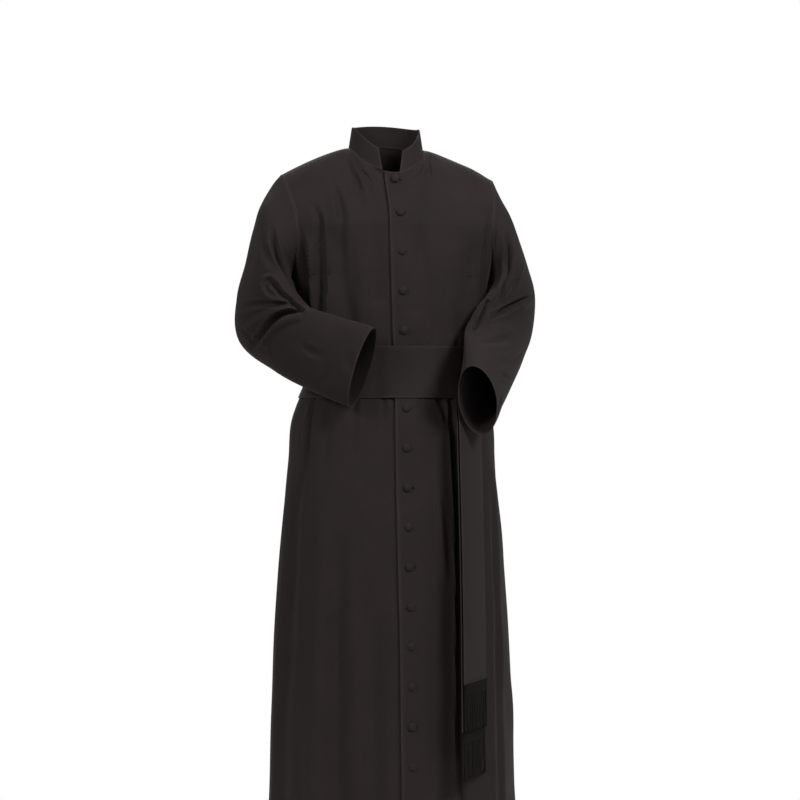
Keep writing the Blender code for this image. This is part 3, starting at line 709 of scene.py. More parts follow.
suiting = woven(
    "black_suiting", (0.0150, 0.0113, 0.0109), (1.0, 0.88, 0.86), 0.0009, 60.0, 0.5, 0.74, 0.04, 0.07
)
armhole_edges = {}
for name, side, width in (("front_right", -1, LAP_RIGHT), ("front_left", 1, LAP_LEFT)):
    columns = np.concatenate([[-1.0, -0.93, -0.66, -0.33], panel_columns()])
    across, up = np.meshgrid(columns, panel_rows())
    lap = -lap_share(width, up[:, 0])
    across[:, :4] *= -lap[:, None]
    across = side * across
    outer = front_point(across, up)
    normals = outward(front_point, across, up, 1)
    if side > 0:
        outer = outer + normals * lap_lift(outer)[..., None]
    armhole_edges["front", side] = np.stack([outer[:, -1], normals[:, -1]])
    outer = eased_corner(outer, up)
    if side < 0:
        # the under front dips beside the upper front's edge
        beside = np.abs(across) * 0.25 - (lap_share(LAP_LEFT + CHANNEL_WIDE, up) * 0.25)
        beside = np.exp(-((beside / CHANNEL_WIDE) ** 2)) * CHANNEL_DEEP
        outer = outer - normals * (beside * (across < 0) * ease(0.0, 0.05, 1 - up))[..., None]
    outer = settled(outer, normals, FRONT_CREASES, panel_free(across, up))
    near_lap = np.clip(1 - (outer[..., 0] * side + width) / 0.004, 0, 1)
    inner = outer - normals * (CLOTH + (FACING - CLOTH) * near_lap)[..., None]
    if side < 0:
        outer, inner = outer[:, ::-1], inner[:, ::-1]
    piece = cloth_object(name + "_cloth", outer, inner, False, suiting)
    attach(piece, "root")
    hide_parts(name)

# --- Back ---------------------------------------------------------------------
# One full-width back of the same suiting, joined to the fronts at the side and
# shoulder seams and falling in deep soft folds below the waist.
BACK_CREASES = chains("""
    150 95 -200 9 0 > 135 105 -250 10 -4 > 120 108 -310 10 -5 > 110 108 -370 10 0
    -155 92 -190 9 0 > -142 102 -245 10 -5 > -128 106 -300 9 -4 > -115 106 -365 9 0
    -30 78 -25 4 -2 > -20 92 -55 6 0
    25 80 -22 4 -2 > 15 93 -50 6 0
    62 60 -22 5 -2 > 70 85 -60 8 -3 > 78 105 -120 10 0
    -80 58 -24 5 -2 > -88 83 -62 8 -3 > -92 104 -118 10 0
    50 112 -396 5 -3 > 48 116 -345 8 0
    -48 113 -396 5 -4 > -52 118 -335 8 0
    92 104 -396 6 -4 > 95 108 -330 8 0
    -95 103 -396 6 -4 > -97 108 -338 8 0
    5 114 -396 5 -2 > 8 119 -350 7 0
    45 128 -504 6 -5 > 48 138 -570 9 -4 > 50 150 -680 11 0
    -52 127 -504 6 -5 > -55 138 -580 9 -3 > -60 150 -690 11 0
    100 115 -504 7 -5 > 108 128 -600 10 0
    -105 113 -504 7 -5 > -112 126 -610 10 0
    92 160 -700 12 0 > 98 172 -950 15 -8 > 106 182 -1545 20 -12
    -88 162 -660 12 0 > -95 172 -930 16 -9 > -100 184 -1545 20 -13
    22 140 -520 7 -3 > 24 155 -680 11 -7 > 28 168 -1000 14 -9 > 33 180 -1545 18 -12
    -28 140 -620 8 0 > -30 160 -800 12 -6 > -36 175 -1545 16 -9
    150 120 -560 9 0 > 160 130 -800 13 -7 > 172 140 -1545 18 -10
    -152 118 -600 9 0 > -166 128 -860 13 -7 > -176 138 -1545 18 -9
""")


def back_point(u, v):
    return panel_point(u, v, True)


shares = panel_columns()
across, up = np.meshgrid(np.concatenate([shares[::-1], -shares[1:]]), panel_rows())
outer = back_point(across, up)
normals = outward(back_point, across, up, -1)
for side, column in ((1, 0), (-1, -1)):
    armhole_edges["back", side] = np.stack([outer[:, column], normals[:, column]])
outer = eased_corner(outer, up)
outer = settled(outer, normals, on_cloth(BACK_CREASES, outer), panel_free(across, up))
piece = cloth_object("back_cloth", outer, outer - normals * CLOTH, False, suiting)
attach(piece, "root")
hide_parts("back")

# --- Sleeves ------------------------------------------------------------------
# Wide two-piece sleeves set into the armholes, bent at the elbow as worn, with
# open flat cuffs faced inside.
SLEEVE_GAP = 0.0004
SLEEVE_CLEAR = 0.0045
HEAD_END = 0.25
HEAD_BLEND = 0.14
HEAD_HELD = 0.035
GUIDES = (
    "along  body_x body_y body_z  front_x front_y front_z  outer_x outer_y outer_z"
    "  elbow_x elbow_y elbow_z"
)
SLEEVE_RIGHT = table(
    GUIDES,
    (0.00, 0.200, 0.000, -0.261, 0.205, -0.077, -0.163, 0.210, 0.000, -0.065, 0.205, 0.077, -0.163),
    (0.12, 0.196, 0.000, -0.270, 0.229, -0.080, -0.190, 0.252, 0.004, -0.113, 0.228, 0.080, -0.198),
    (0.25, 0.190, -0.005, -0.284, 0.240, -0.086, -0.222, 0.270, 0.008, -0.170, 0.228, 0.080, -0.245),
    (0.38, 0.186, -0.010, -0.302, 0.240, -0.094, -0.258, 0.285, 0.010, -0.235, 0.228, 0.082, -0.298),
    (0.50, 0.186, -0.015, -0.322, 0.228, -0.104, -0.292, 0.303, 0.008, -0.298, 0.243, 0.083, -0.355),
    (0.60, 0.188, -0.022, -0.348, 0.205, -0.112, -0.318, 0.303, -0.012, -0.348, 0.262, 0.055, -0.410),
    (0.70, 0.178, -0.045, -0.376, 0.174, -0.125, -0.331, 0.258, -0.068, -0.378, 0.231, -0.020, -0.450),
    (0.85, 0.133, -0.096, -0.412, 0.122, -0.160, -0.350, 0.185, -0.136, -0.412, 0.178, -0.098, -0.487),
    (1.00, 0.077, -0.161, -0.444, 0.073, -0.198, -0.369, 0.114, -0.195, -0.444, 0.114, -0.158, -0.519),
)
SLEEVE_LEFT = table(
    GUIDES,
    (0.00, 0.200, 0.000, -0.261, 0.205, -0.077, -0.163, 0.210, 0.000, -0.065, 0.205, 0.077, -0.163),
    (0.12, 0.196, 0.000, -0.270, 0.220, -0.079, -0.190, 0.239, 0.003, -0.114, 0.220, 0.080, -0.196),
    (0.25, 0.192, -0.002, -0.286, 0.228, -0.084, -0.226, 0.260, 0.006, -0.172, 0.226, 0.081, -0.245),
    (0.38, 0.188, -0.006, -0.304, 0.218, -0.094, -0.262, 0.287, 0.008, -0.238, 0.234, 0.083, -0.300),
    (0.50, 0.185, -0.016, -0.328, 0.193, -0.102, -0.295, 0.303, 0.006, -0.298, 0.246, 0.082, -0.356),
    (0.60, 0.178, -0.042, -0.358, 0.163, -0.110, -0.324, 0.290, -0.014, -0.350, 0.251, 0.052, -0.406),
    (0.70, 0.160, -0.080, -0.392, 0.133, -0.134, -0.360, 0.252, -0.068, -0.388, 0.229, -0.014, -0.452),
    (0.85, 0.128, -0.134, -0.449, 0.114, -0.188, -0.397, 0.203, -0.150, -0.445, 0.184, -0.095, -0.511),
    (1.00, 0.087, -0.195, -0.505, 0.101, -0.250, -0.440, 0.154, -0.229, -0.505, 0.138, -0.174, -0.570),
)
SLEEVE_CREASES = {
    -1: chains("""
    # the loop of cloth over the crook of the arm, and the pocket inside it
    -204 -117 -328 4 0 > -231 -104 -314 4 3 > -256 -88 -306 5 5 > -268 -79 -289 5 6 >
      -266 -82 -271 5 5 > -256 -91 -266 4 4 > -240 -100 -278 4 1
    -204 -118 -330 4 -7 > -220 -109 -315 4.5 -9 > -236 -103 -301 5 -11 > -247 -98 -287 5.5 -10 >
      -254 -93 -278 5 -5 > -258 -89 -271 5 0
    # creases that fan from the crook round the elbow
    -204 -117 -328 3.5 -5 > -224 -107 -320 4 -7 > -247 -93 -320 4.5 -7 > -267 -74 -319 5 -5 >
      -290 -45 -321 6 -3 > -305 -16 -324 7 0
    -199 -122 -334 4 -8 > -216 -112 -336 4.5 -12 > -236 -98 -341 5 -13 > -256 -76 -359 6 -12 >
      -274 -38 -389 6 -8 > -283 1 -406 7 0
    -212 -113 -329 4 2 > -240 -92 -331 6 5 > -262 -66 -342 7 5 > -285 -30 -362 8 3 >
      -298 5 -380 8 0
    -203 -122 -348 5 3 > -230 -101 -355 6 5 > -250 -79 -373 6 4 > -265 -46 -399 6 1
    -266 -49 -393 3.5 0 > -257 -56 -405 3.5 4 > -249 -54 -424 4 0
    -303 -5 -363 5 0 > -288 -23 -379 5 -4 > -276 -24 -400 5 0
    # falls on the upper arm, dents on the forearm and at the cuff
    -250 -73 -168 6 0 > -249 -80 -192 6 -9 > -243 -85 -215 6 -13 > -234 -85 -238 6 -13 >
      -224 -83 -261 6 -9 > -216 -84 -282 6 -2
    -261 -11 -121 8 0 > -267 -56 -175 9 -3 > -264 -77 -219 9 -4 > -252 -91 -251 7 -1
    -115 -192 -410 8 0 > -121 -187 -429 9 -3 > -119 -187 -455 9 0
    -202 -120 -399 6 0 > -182 -137 -413 7 -3 > -158 -157 -421 7 0
    -169 -129 -481 6 0 > -157 -151 -462 7 -3 > -151 -161 -440 7 0
    # the same kind of falls and elbow creases behind
    -235 84 -250 7 0 > -250 78 -300 7 -5 > -262 70 -345 7 -4 > -272 48 -385 7 0
    -205 78 -240 7 0 > -212 82 -290 7 -5 > -225 82 -340 7 0
    -262 30 -410 6 0 > -235 20 -440 6 -4 > -205 -5 -452 7 0
    """),
    1: chains("""
    219 -76 -171 6 0 > 222 -81 -203 6 -9 > 219 -83 -231 6 -12 > 212 -95 -267 6 -10 >
      201 -96 -301 6 -7 > 188 -100 -322 5 -1
    258 -56 -222 4 0 > 244 -75 -255 4.5 -8 > 233 -82 -282 4.5 -9 > 219 -85 -306 4.5 -2
    290 -16 -291 5 -3 > 261 -52 -304 5 -10 > 235 -71 -315 5 -12 > 208 -88 -328 5 -12 >
      173 -111 -343 5 -8
    285 -20 -305 6 0 > 255 -57 -320 7 4 > 225 -80 -332 7 4 > 195 -100 -345 6 1
    170 -106 -314 5 -8 > 160 -113 -334 6 -14 > 150 -123 -350 6 -14 > 137 -141 -368 5 -7
    249 -66 -365 7 0 > 212 -110 -382 8 -4 > 167 -157 -392 7 -3 > 131 -189 -399 7 0
    259 -58 -408 6 0 > 212 -138 -430 7 -4 > 170 -195 -439 7 0
    168 -205 -453 3.5 0 > 183 -187 -458 3.5 -2.5 > 208 -147 -465 4 0
    190 -173 -489 5 0 > 170 -205 -512 6 2.5 > 165 -201 -535 6 0
    # puckers along the armhole seam
    216 -43 -110 3 0 > 198 -72 -151 3 -2 > 193 -75 -187 3.5 -2.5 > 192 -63 -218 4 0
    208 -62 -128 2.5 -0.5 > 198 -68 -134 2.5 -1.4 > 192 -70 -138 2.5 0
    206 -72 -158 2.5 -0.5 > 196 -75 -162 2.5 -1.4 > 190 -75 -166 2.5 0
    204 -78 -184 2.5 -0.5 > 194 -76 -189 2.5 -1.4 > 188 -74 -194 2.5 0
    235 84 -250 7 0 > 249 78 -300 7 -4 > 258 66 -350 7 -5 > 256 45 -390 7 0
    206 78 -236 7 0 > 214 83 -290 7 -5 > 228 80 -345 7 0
    250 30 -412 6 0 > 225 15 -442 6 -4 > 198 -20 -455 7 0
    """),
}


def sleeve_ring(guides, along, theta, side):
    """A ring of the sleeve through its four guide lines: the body side, the front,
    the outer side and the elbow side."""

    def line(name):
        columns = [smooth(along, guides["along"], guides[name + axis]) for axis in ("_x", "_y", "_z")]
        return np.stack(columns, axis=-1)

    near, front, outer, elbow = (line(name) for name in ("body", "front", "outer", "elbow"))
    wide, deep = np.cos(theta)[..., None], np.sin(theta)[..., None]
    ring = (near - outer) * wide / 2 + (front - elbow) * deep / 2
    ring = ring + (near + outer) * wide**2 / 2 + (front + elbow) * deep**2 / 2
    ring = ring * np.array([side, 1.0, 1.0])
    ring[..., 0] += body("shift", np.clip(ring[..., 2], HEM, CHEST))
    return ring


def clear_of_body(points, loop, along, side):
    """Moves sleeve points off the armhole's edge and off the body's side."""
    out = side * points[..., 0]
    least_out = side * loop[:, 0] + SLEEVE_GAP + 0.02 * along
    points[..., 0] = side * np.where(along < HEAD_END, np.maximum(out, least_out), out)
    height = np.minimum(points[..., 2], UNDERARM)
    across = points[..., 0] - body("shift", height)
    angle = np.arctan2(across, -points[..., 1])
    reach = np.hypot(across, points[..., 1])
    least = radius(angle, height) + np.maximum(fold_lift(angle, height), 0) + SLEEVE_CLEAR
    below = points[..., 2] < UNDERARM - 0.001
    push = np.where(below & (reach < least), least / reach, 1.0)
    points[..., 0] = body("shift", height) + across * push
    points[..., 1] = points[..., 1] * push
    return points


underarm_row = int(np.argmin(np.abs(panel_rows() - (UNDERARM - CHEST))))
sleeve_rows = np.concatenate(
    [[0.0, 0.004], np.linspace(0.012, 0.40, 52), np.linspace(0.40, 0.66, 62)[1:],
     np.linspace(0.66, 0.993, 56)[1:], [1.0]]
)
for name, side, guides in (("sleeve_right", -1, SLEEVE_RIGHT), ("sleeve_left", 1, SLEEVE_LEFT)):
    front = armhole_edges["front", side][:, underarm_row:]
    rear = armhole_edges["back", side][:, underarm_row:][:, ::-1][:, 1:-1]
    loop, loop_normals = np.concatenate([front, rear], axis=1)
    middle_z = (loop[:, 2].max() + loop[:, 2].min()) / 2
    half = (loop[:, 2].max() - loop[:, 2].min()) / 2
    theta = np.unwrap(np.arctan2(-loop[:, 1] / ARMHOLE_FRONT, (middle_z - loop[:, 2]) / half))
    theta, along = np.meshgrid(theta, sleeve_rows)
    ring = sleeve_ring(guides, along, theta, side)
    gap = SLEEVE_GAP * (1.75 - 0.75 * np.cos(theta[0]))
    first = loop + gap[:, None] * np.array([side, 0, 0])
    blend = ease(0.0, HEAD_BLEND, along)[..., None]
    outer = ring + (1 - blend) * (first - ring[:1])
    outer = clear_of_body(outer, loop, along, side)
    turn = np.roll(outer, -1, axis=1) - np.roll(outer, 1, axis=1)
    normals = unit(np.cross(turn, np.gradient(outer, axis=0))) * -side
    with_panel = ease(0.3, 1.0, 1 - np.cos(theta[0]))[:, None]
    normals[0] = unit(normals[0] * (1 - with_panel) + loop_normals * with_panel)
    outer = settled(outer, normals, SLEEVE_CREASES[side], ease(0.0, HEAD_HELD, along))
    inner = outer - normals * CLOTH
    if side > 0:
        outer, inner = outer[:, ::-1], inner[:, ::-1]
    piece = cloth_object(name + "_cloth", outer, inner, True, suiting)
    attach(piece, "root")
    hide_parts(name)

# --- Collar -------------------------------------------------------------------
# A standing collar of two layers over stiffening, sewn to the neck seam, with a
# square opening at the throat.
COLLAR_CLOTH = 0.0022
COLLAR_HEIGHT = 0.040
COLLAR_LEAN = 0.16
COLLAR_FOOT = -0.0008
NOTCH_LOW = (-0.0225, 0.0115)
NOTCH_HIGH = (-0.0290, 0.0200)

low = [math.asin(x / NECK_HALF) for x in NOTCH_LOW]
high = [math.asin(x / (NECK_HALF * (1 - COLLAR_LEAN * 0.5))) for x in NOTCH_HIGH]
outer, flats = [], []
for rise_share in (0.0, 0.03, 0.12, 0.25, 0.4, 0.55, 0.7, 0.83, 0.93, 0.98, 1.0):
    first = low[1] + (high[1] - low[1]) * rise_share
    last = 2 * np.pi + low[0] + (high[0] - low[0]) * rise_share
    spread = np.concatenate([[0.0, 0.002, 0.006], np.linspace(0.012, 0.988, 150), [0.994, 0.998, 1.0]])
    angle = first + (last - first) * spread
    foot = neck(angle)
    flat = unit(np.stack([np.sin(angle) / NECK_HALF, -np.cos(angle) / NECK_FRONT, 0 * angle], -1))
    over_lap = ease(-0.045, -0.022, foot[:, 0] - NECK_SHIFT) * (np.cos(angle) > 0)
    lap = lap_lift(foot) * over_lap * (1 - rise_share)
    row = foot - flat * (COLLAR_LEAN * COLLAR_HEIGHT * rise_share - lap)[..., None]
    row[:, 2] += COLLAR_FOOT + 0.7 * lap + (COLLAR_HEIGHT + SEAM_GAP * 3 - COLLAR_FOOT) * rise_share
    outer.append(row)
    flats.append(flat)
outer, flats = np.stack(outer), np.stack(flats)
piece = cloth_object("collar_cloth", outer, outer - flats * COLLAR_CLOTH, False, suiting, 0.004)
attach(piece, "root")
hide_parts("collar")

# --- Buttons ------------------------------------------------------------------
# Domed buttons covered in the cassock's cloth, each on a short thread shank, down
# the front edge at an even pitch; none where the waistband covers the row.
BUTTON_RADIUS = 0.0082
BUTTON_HEIGHT = 0.0052
BUTTON_STAND = 0.0010
BUTTON_FLAT = 0.60
BUTTON_CUT = 0.0014
BUTTON_RAISE = 0.0012
GATHERS = 11
GATHER_DEEP = 0.035
SHANK_RADIUS = 0.0016
SHANK_LENGTH = 0.0022
BUTTON_FIRST = -0.074
BUTTON_SECOND = -0.1415
BUTTON_PITCH = 0.0758
BUTTON_LAST = -1.46


def on_left_front(across, height):
    """Point and outward normal of the left front's face beside the button line."""
    up = np.array([height - CHEST])
    share = np.linspace(0, 1, 401)
    line = front_point(0 * share, share)
    if height > CHEST:
        up = np.array([np.interp(height, line[:, 2], share)])
    place = np.array([lap_share(across, up)[0]]) if across else np.array([0.0])
    normal = outward(front_point, place, up, 1)[0]
    point = front_point(place, up)[0]
    return point + normal * float(lap_lift(point)), normal


def seat(normal, point):
    """A matrix that sets a flat-lying shape on the cloth, its X level."""
    side = unit(np.cross([0.0, 0.0, 1.0], normal))
    upward = np.cross(normal, side)
    matrix = np.eye(4)
    matrix[:3, 0], matrix[:3, 1], matrix[:3, 2], matrix[:3, 3] = side, upward, normal, point
    return matrix


def moved_copy(source, name, matrix):
    """A copy with its own mesh, set at a place."""
    mesh = source.data.copy()
    made = bpy.data.objects.new(name, mesh)
    bpy.context.collection.objects.link(made)
    points = np.empty(len(mesh.vertices) * 3)
    mesh.vertices.foreach_get("co", points)
    points = points.reshape(-1, 3) @ matrix[:3, :3].T + matrix[:3, 3]
    mesh.vertices.foreach_set("co", points.reshape(-1))
    mesh.update()
    return made


bpy.ops.mesh.primitive_uv_sphere_add(segments=28, ring_count=16, radius=BUTTON_RADIUS)
button = bpy.context.object
bpy.ops.object.mode_set(mode="EDIT")
bpy.ops.transform.resize(value=(1.0, 1.0, BUTTON_FLAT))
bpy.ops.mesh.bisect(
    plane_co=(0, 0, -BUTTON_CUT), plane_no=(0, 0, 1), clear_inner=True, use_fill=True
)
bpy.ops.mesh.select_all(action="SELECT")
bpy.ops.transform.translate(value=(0, 0, BUTTON_RAISE))
bpy.ops.object.mode_set(mode="OBJECT")
points = np.empty(len(button.data.vertices) * 3)
button.data.vertices.foreach_get("co", points)
points = points.reshape(-1, 3)
turn = np.arctan2(points[:, 1], points[:, 0])
low_share = 1 - ease(0.0006, 0.0034, points[:, 2])
gather = 1 + GATHER_DEEP * low_share * np.sin(turn * GATHERS + np.sin(turn * 3))
points[:, :2] *= (gather * (1 - 0.10 * (1 - ease(-0.0002, 0.0012, points[:, 2]))))[:, None]
points[:, 2] *= BUTTON_HEIGHT / points[:, 2].max()
button.data.vertices.foreach_set("co", points.reshape(-1))
bpy.ops.object.modifier_add(type="SUBSURF")
button.modifiers[-1].levels = 1
button.modifiers[-1].render_levels = 1
bpy.ops.object.modifier_apply(modifier=button.modifiers[-1].name)
bpy.ops.object.mode_set(mode="EDIT")
bpy.ops.mesh.primitive_cylinder_add(
    vertices=12, radius=SHANK_RADIUS, depth=SHANK_LENGTH, location=(0, 0, -0.0002)
)
bpy.ops.object.mode_set(mode="OBJECT")
bpy.ops.object.shade_smooth_by_angle(angle=math.radians(50))

heights = [BUTTON_FIRST]
height = BUTTON_SECOND
while height > BUTTON_LAST:
    if not BAND_LOW - BUTTON_RADIUS < height < BAND_TOP + BUTTON_RADIUS:
        heights.append(height)
    height -= BUTTON_PITCH
button.data.materials.append(suiting)
seats = []
for number, height in enumerate(heights, 1):
    point, normal = on_left_front(0.0, height)
    piece = moved_copy(
        button, f"button_{number:02d}_cover", seat(normal, point + normal * BUTTON_STAND)
    )
    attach(piece, "root")
    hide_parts(f"button_{number:02d}")
    seats.append(seat(normal, point))
bpy.data.objects.remove(button)

# A buttonhole bound with purl stitches runs level behind each button, its outer end
# showing on the wearer's left of it.
HOLE_HALF = 0.0078
HOLE_OPEN = 0.0011
HOLE_ACROSS = 0.0062
PURL_THICK = 0.00055
PURLS = 54
PURL_WIND = 0.00062
PURL_RISE = 0.00045
PURL_STAND = 0.0003

turn = np.linspace(0, 2 * np.pi, PURLS * 8 + 1)[:-1]
ring_x = HOLE_HALF * np.sign(np.cos(turn)) * np.abs(np.cos(turn)) ** 0.7
ring_y = HOLE_OPEN * np.sign(np.sin(turn)) * np.abs(np.sin(turn)) ** 0.7
spin = turn * PURLS
out_x, out_y = np.cos(turn), np.sin(turn)
wound = np.stack(
    [ring_x + HOLE_ACROSS + PURL_WIND * np.cos(spin) * out_x,
     ring_y + PURL_WIND * np.cos(spin) * out_y,
     PURL_STAND + PURL_RISE * np.sin(spin)], axis=-1
)
curve = bpy.data.curves.new("buttonhole_stitches", "CURVE")
curve.dimensions = "3D"
curve.bevel_depth = PURL_THICK / 2
curve.bevel_resolution = 1
for matrix in seats:
    spline = curve.splines.new("POLY")
    spline.points.add(len(wound) - 1)
    placed = wound @ matrix[:3, :3].T + matrix[:3, 3]
    placed = np.concatenate([placed, np.ones((len(wound), 1))], axis=1)
    spline.points.foreach_set("co", placed.reshape(-1))
    spline.use_cyclic_u = True
stitches = bpy.data.objects.new("buttonhole_stitches", curve)
bpy.context.collection.objects.link(stitches)
bpy.ops.object.select_all(action="DESELECT")
bpy.context.view_layer.objects.active = stitches
stitches.select_set(True)
bpy.ops.object.convert(target="MESH")
stitches = bpy.context.object
silk, tree, shader = painted("black_buttonhole_silk", {"Specular IOR Level": 0.2})
strand = node(tree, "TexNoise", {"Scale": 900.0}).outputs["Fac"]
tone = node(tree, "ValToRGB", {"Fac": strand})
tone.color_ramp.elements[0].color = (0.006, 0.0046, 0.0044, 1.0)
tone.color_ramp.elements[1].color = (0.014, 0.0110, 0.0106, 1.0)
gloss = node(tree, "MapRange", {"Value": strand, "To Min": 0.4, "To Max": 0.6})
feed(tree, shader, {"Base Color": tone.outputs["Color"], "Roughness": gloss.outputs["Result"]})
stitches.data.materials.append(silk)
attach(stitches, "root")

# --- Waistband ----------------------------------------------------------------
# The cincture's flat band of black ribbed sash cloth, wrapped once round the waist
# over the cassock, with its hems turned in.
BAND_CLOTH = 0.0016
BAND_CLEAR = 0.0010

faille = woven(
    "black_faille", (0.0150, 0.0112, 0.0107), (1.0, 0.88, 0.86), 0.0011, 90.0, 0.9, 0.62, 0.04, 0.08
)
rows = np.concatenate([[BAND_LOW, BAND_LOW + EDGE], np.linspace(BAND_LOW, BAND_TOP, 26)[1:-1],
                       [BAND_TOP - EDGE, BAND_TOP]])
angle, height = np.meshgrid(np.linspace(0, 2 * np.pi, 261)[:-1], rows)
normals = outward(skin, angle, height, 1)
base = skin(angle, height)
across = base[..., 0] - body("shift", height)
cover = (np.cos(angle) > 0) * ease(-0.060, -0.030, across) * (1 - ease(0.055, 0.085, across))
inner = base + normals * (BAND_CLEAR + LAP_LIFT * cover)[..., None]
piece = cloth_object("cincture_band_cloth", inner + normals * BAND_CLOTH, inner, True, faille, 0.003)
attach(piece, "root")
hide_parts("cincture_band")

# --- Sash tails ---------------------------------------------------------------
# Two flat tails of the sash cloth that hang from the waistband over the left hip,
# the rear one longer, each ending in a fringe.
TAIL_CLOTH = 0.0016
TAIL_WIDTH = 0.092
TAIL_ACROSS = 0.129
TAIL_FACING = 49.0
TAIL_CUP = 0.8
FRINGE_DEPTH = 0.092
FRINGE_THICK = 0.0030
TAILS = table(
    "end    stand   slide   flare",
    (-1.044, 0.0085, 0.0000, 0.00),
    (-1.134, 0.0035, -0.0060, 0.12),
)


def shortage(points, height):
    """How much too near the skirt the nearest of some level points lies."""
    across = points[:, 0] - float(body("shift", height))
    angle = np.arctan2(across, -points[:, 1])
    reach = np.hypot(across, points[:, 1])
    level = np.full_like(angle, height)
    return float(np.max(radius(angle, level) + np.maximum(fold_lift(angle, level), 0) - reach))


def strip_row(height, stand, slide, half, columns):
    """A level row of a hanging strip, and the way that the strip faces."""
    facing = np.array([math.sin(math.radians(TAIL_FACING)), -math.cos(math.radians(TAIL_FACING)), 0])
    along = np.array([-facing[1], facing[0], 0.0])
    across = TAIL_ACROSS - float(body("shift", height))
    place = skin(np.array(angle_at(across, height)), np.array(height))
    line = np.linspace(-half, half, columns)
    strip = place + along * (line + slide)[:, None] - facing * (TAIL_CUP * line**2)[:, None]
    for _ in range(6):
        strip[:, 1] -= shortage(strip, height) + stand
    return strip, facing


tail_top = BAND_LOW - SEAM_GAP
for tail, name in enumerate(("front", "rear")):
    end, stand = TAILS["end"][tail], TAILS["stand"][tail]
    slide = TAILS["slide"][tail]
    strips = []
    for height in np.concatenate([[end, end + EDGE], np.linspace(end, tail_top, 120)[1:]]):
        strip, facing = strip_row(height, stand, slide, TAIL_WIDTH / 2, 25)
        strips.append(strip)
    inner = np.array(strips)
    outer = inner + facing * TAIL_CLOTH
    piece = cloth_object(f"sash_tail_{name}_cloth", outer, inner, False, faille, 0.003)
    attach(piece, "root")
    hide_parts(f"sash_tail_{name}")

# --- Fringes ------------------------------------------------------------------
# A hand-knotted fringe of twisted black rayon cords at the foot of each tail: a
# close heading, then free cords that part and splay at their tips.
CORD = 0.0011
FRINGE_CORDS = 46
FRINGE_HEADING = 0.022
FRINGE_NET_LINES = 21
NET_CELLS = 22
NET_ROWS = 5
CORD_SIDES = 6
FRINGE_COLUMNS = 40
TUFTS = 9
TUFT_PULL = 0.22
LAYER_APART = 0.0006
NET_STAND = 0.0019
KNOT_SWELL = 0.7

fringe_thread, tree, shader = painted("black_rayon_cord", {"Specular IOR Level": 0.07})
lay = node(tree, "UVMap", {}, uv_map="cut").outputs["UV"]
twist = node(tree, "Mapping", {"Vector": lay, "Rotation": (0.0, 0.0, math.radians(38))})
ply = node(tree, "TexWave", {"Vector": twist.outputs["Vector"], "Scale": WAVE_LENGTH / 0.0012})
uneven = node(tree, "TexNoise", {"Vector": lay, "Scale": 160.0}).outputs["Fac"]
blend = node(tree, "Mix", {
    "Factor": 0.5, "A": ply.outputs["Fac"], "B": uneven,
}, data_type="FLOAT")
# The cords' own tone varies at random; their colour is also painted darker in the grooves of the
# twist, a painted shade.
tone_and_groove_shade = node(tree, "ValToRGB", {"Fac": blend.outputs["Result"]})
tone_and_groove_shade.color_ramp.elements[0].color = (0.0022, 0.0015, 0.0014, 1.0)
tone_and_groove_shade.color_ramp.elements[1].color = (0.0085, 0.0060, 0.0056, 1.0)
gloss = node(tree, "MapRange", {"Value": uneven, "To Min": 0.42, "To Max": 0.62})
ply_bump = node(tree, "Bump", {
    "Strength": 0.8, "Distance": 0.0003, "Height": ply.outputs["Fac"],
})
feed(tree, shader, {
    "Base Color": tone_and_groove_shade.outputs["Color"], "Roughness": gloss.outputs["Result"],
    "Normal": ply_bump.outputs["Normal"],
})


def cords_object(name, lines, widths, material):
    """Many cords as closed tubes in one mesh; each line is a row of points."""
    points, faces, uvs = [], [], []
    for line, width in zip(lines, widths):
        count = len(points)
        run = unit(np.gradient(line, axis=0))
        side = unit(np.cross(run, [0.31, 0.95, 0.05]))
        other = np.cross(run, side)
        length = np.concatenate([[0], np.cumsum(np.linalg.norm(np.diff(line, axis=0), axis=1))])
        for k in range(len(line)):
            for s in range(CORD_SIDES):
                turn = 2 * math.pi * s / CORD_SIDES
                around = side[k] * math.cos(turn) + other[k] * math.sin(turn)
                points.append(line[k] + around * width[k])
        for k in range(len(line) - 1):
            for s in range(CORD_SIDES):
                d = (s + 1) % CORD_SIDES
                a, b = count + k * CORD_SIDES, count + (k + 1) * CORD_SIDES
                faces.append((a + s, a + d, b + d, b + s))
                ring = 2 * math.pi * width[k] / CORD_SIDES
                uvs.extend([(s * ring, length[k]), ((s + 1) * ring, length[k]),
                            ((s + 1) * ring, length[k + 1]), (s * ring, length[k + 1])])
        faces.append(tuple(range(count, count + CORD_SIDES))[::-1])
        last = count + (len(line) - 1) * CORD_SIDES
        faces.append(tuple(range(last, last + CORD_SIDES)))
        uvs.extend([(0.0, 0.0)] * (2 * CORD_SIDES))
    mesh = bpy.data.meshes.new(name)
    mesh.from_pydata([tuple(map(float, p)) for p in points], [], faces)
    mesh.uv_layers.new(name="cut").data.foreach_set("uv", np.array(uvs, float).reshape(-1))
    mesh.materials.append(material)
    mesh.shade_smooth()
    made = bpy.data.objects.new(name, mesh)
    bpy.context.collection.objects.link(made)
    return made


def across_rows(rows, across):
    """The point at a place across each row, places counted in columns."""
    low_side = np.clip(across.astype(int), 0, FRINGE_COLUMNS - 1)
    part = (across - low_side)[:, None]
    row = np.arange(len(rows))
    return rows[row, low_side] * (1 - part) + rows[row, low_side + 1] * part


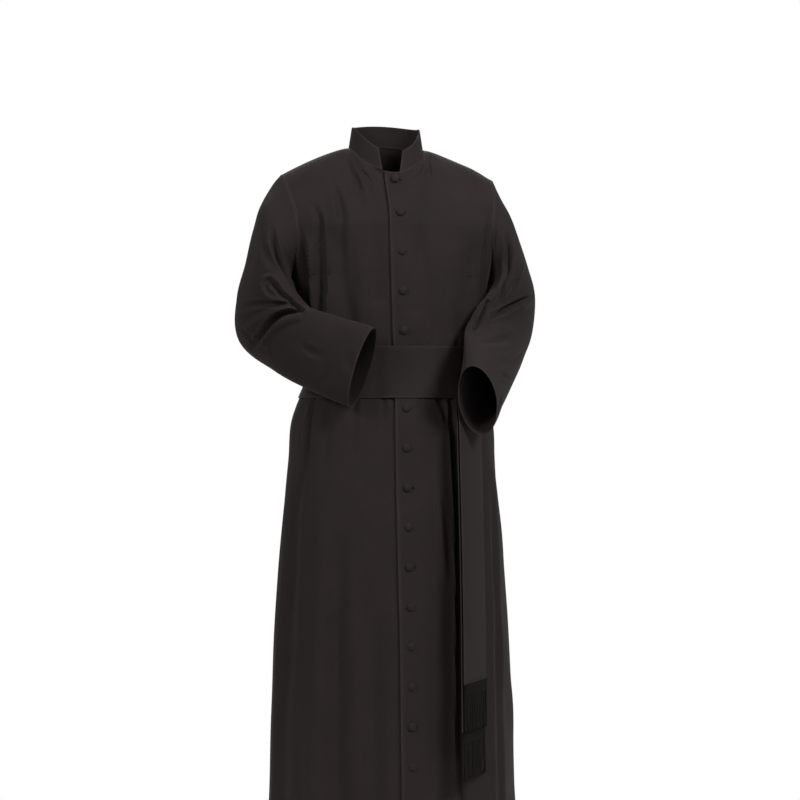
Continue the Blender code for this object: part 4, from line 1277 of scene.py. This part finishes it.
for tail, name in enumerate(("front", "rear")):
    draw = np.random.default_rng(11 + tail)
    end, stand = TAILS["end"][tail] - SEAM_GAP, TAILS["stand"][tail]
    slide, flare = TAILS["slide"][tail], TAILS["flare"][tail]
    levels = np.concatenate([np.linspace(0, 0.22, 5), np.linspace(0.28, 1.0, 12)])
    grids = []
    for shares in (levels, np.linspace(0, 1, FRINGE_NET_LINES)):
        strips = []
        for share in shares:
            half = TAIL_WIDTH / 2 * (1 + flare * share)
            level = end - FRINGE_DEPTH * share
            strip, facing = strip_row(level, stand, slide, half - CORD, FRINGE_COLUMNS + 1)
            strips.append(strip + facing * FRINGE_THICK / 2)
        grids.append(np.array(strips))
    rows, grid = grids
    lines, widths = [], []
    for layer in (-1, 1):
        for k in range(FRINGE_CORDS):
            place = (k + 0.5 + 0.25 * layer) / FRINGE_CORDS
            place = np.clip(place + draw.normal(0, 0.004), 0.0, 1.0)
            drift = np.cumsum(draw.normal(0, 0.0030, len(levels))) * levels**1.5
            tuft = round(place * TUFTS) / TUFTS
            place_down = place + (tuft - place) * TUFT_PULL * np.sin(levels * np.pi) + drift
            line = across_rows(rows, np.clip(place_down, 0.0, 1.0) * FRINGE_COLUMNS)
            line = line + facing * (layer * LAYER_APART + draw.normal(0, 0.0002))
            line[:, 2] += draw.uniform(-0.001, 0.004) * levels
            lines.append(line)
            widths.append(np.where(levels > 0.98, 0.55, 1.0) * CORD * draw.uniform(0.8, 1.05))
    net = np.linspace(0, FRINGE_HEADING / FRINGE_DEPTH, NET_ROWS * 6 + 1)
    zigzag = np.abs((np.arange(len(net)) / 6) % 2 - 1)
    knots = 1 + KNOT_SWELL * np.abs(np.cos(np.arange(len(net)) / 6 * np.pi)) ** 6
    level = net * (FRINGE_NET_LINES - 1)
    above = np.clip(level.astype(int), 0, FRINGE_NET_LINES - 2)
    down = (level - above)[:, None]
    for k in range(NET_CELLS):
        for way in (zigzag, 1 - zigzag):
            place_down = np.clip((k + way) / NET_CELLS, 0.0, 1.0) * FRINGE_COLUMNS
            upper = across_rows(grid[above], place_down)
            lower = across_rows(grid[above + 1], place_down)
            line = upper * (1 - down) + lower * down
            lines.append(line + facing * NET_STAND)
            widths.append(knots * CORD * 0.85)
    piece = cords_object(f"fringe_{name}_cords", lines, widths, fringe_thread)
    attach(piece, "root")
    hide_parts(f"fringe_{name}")
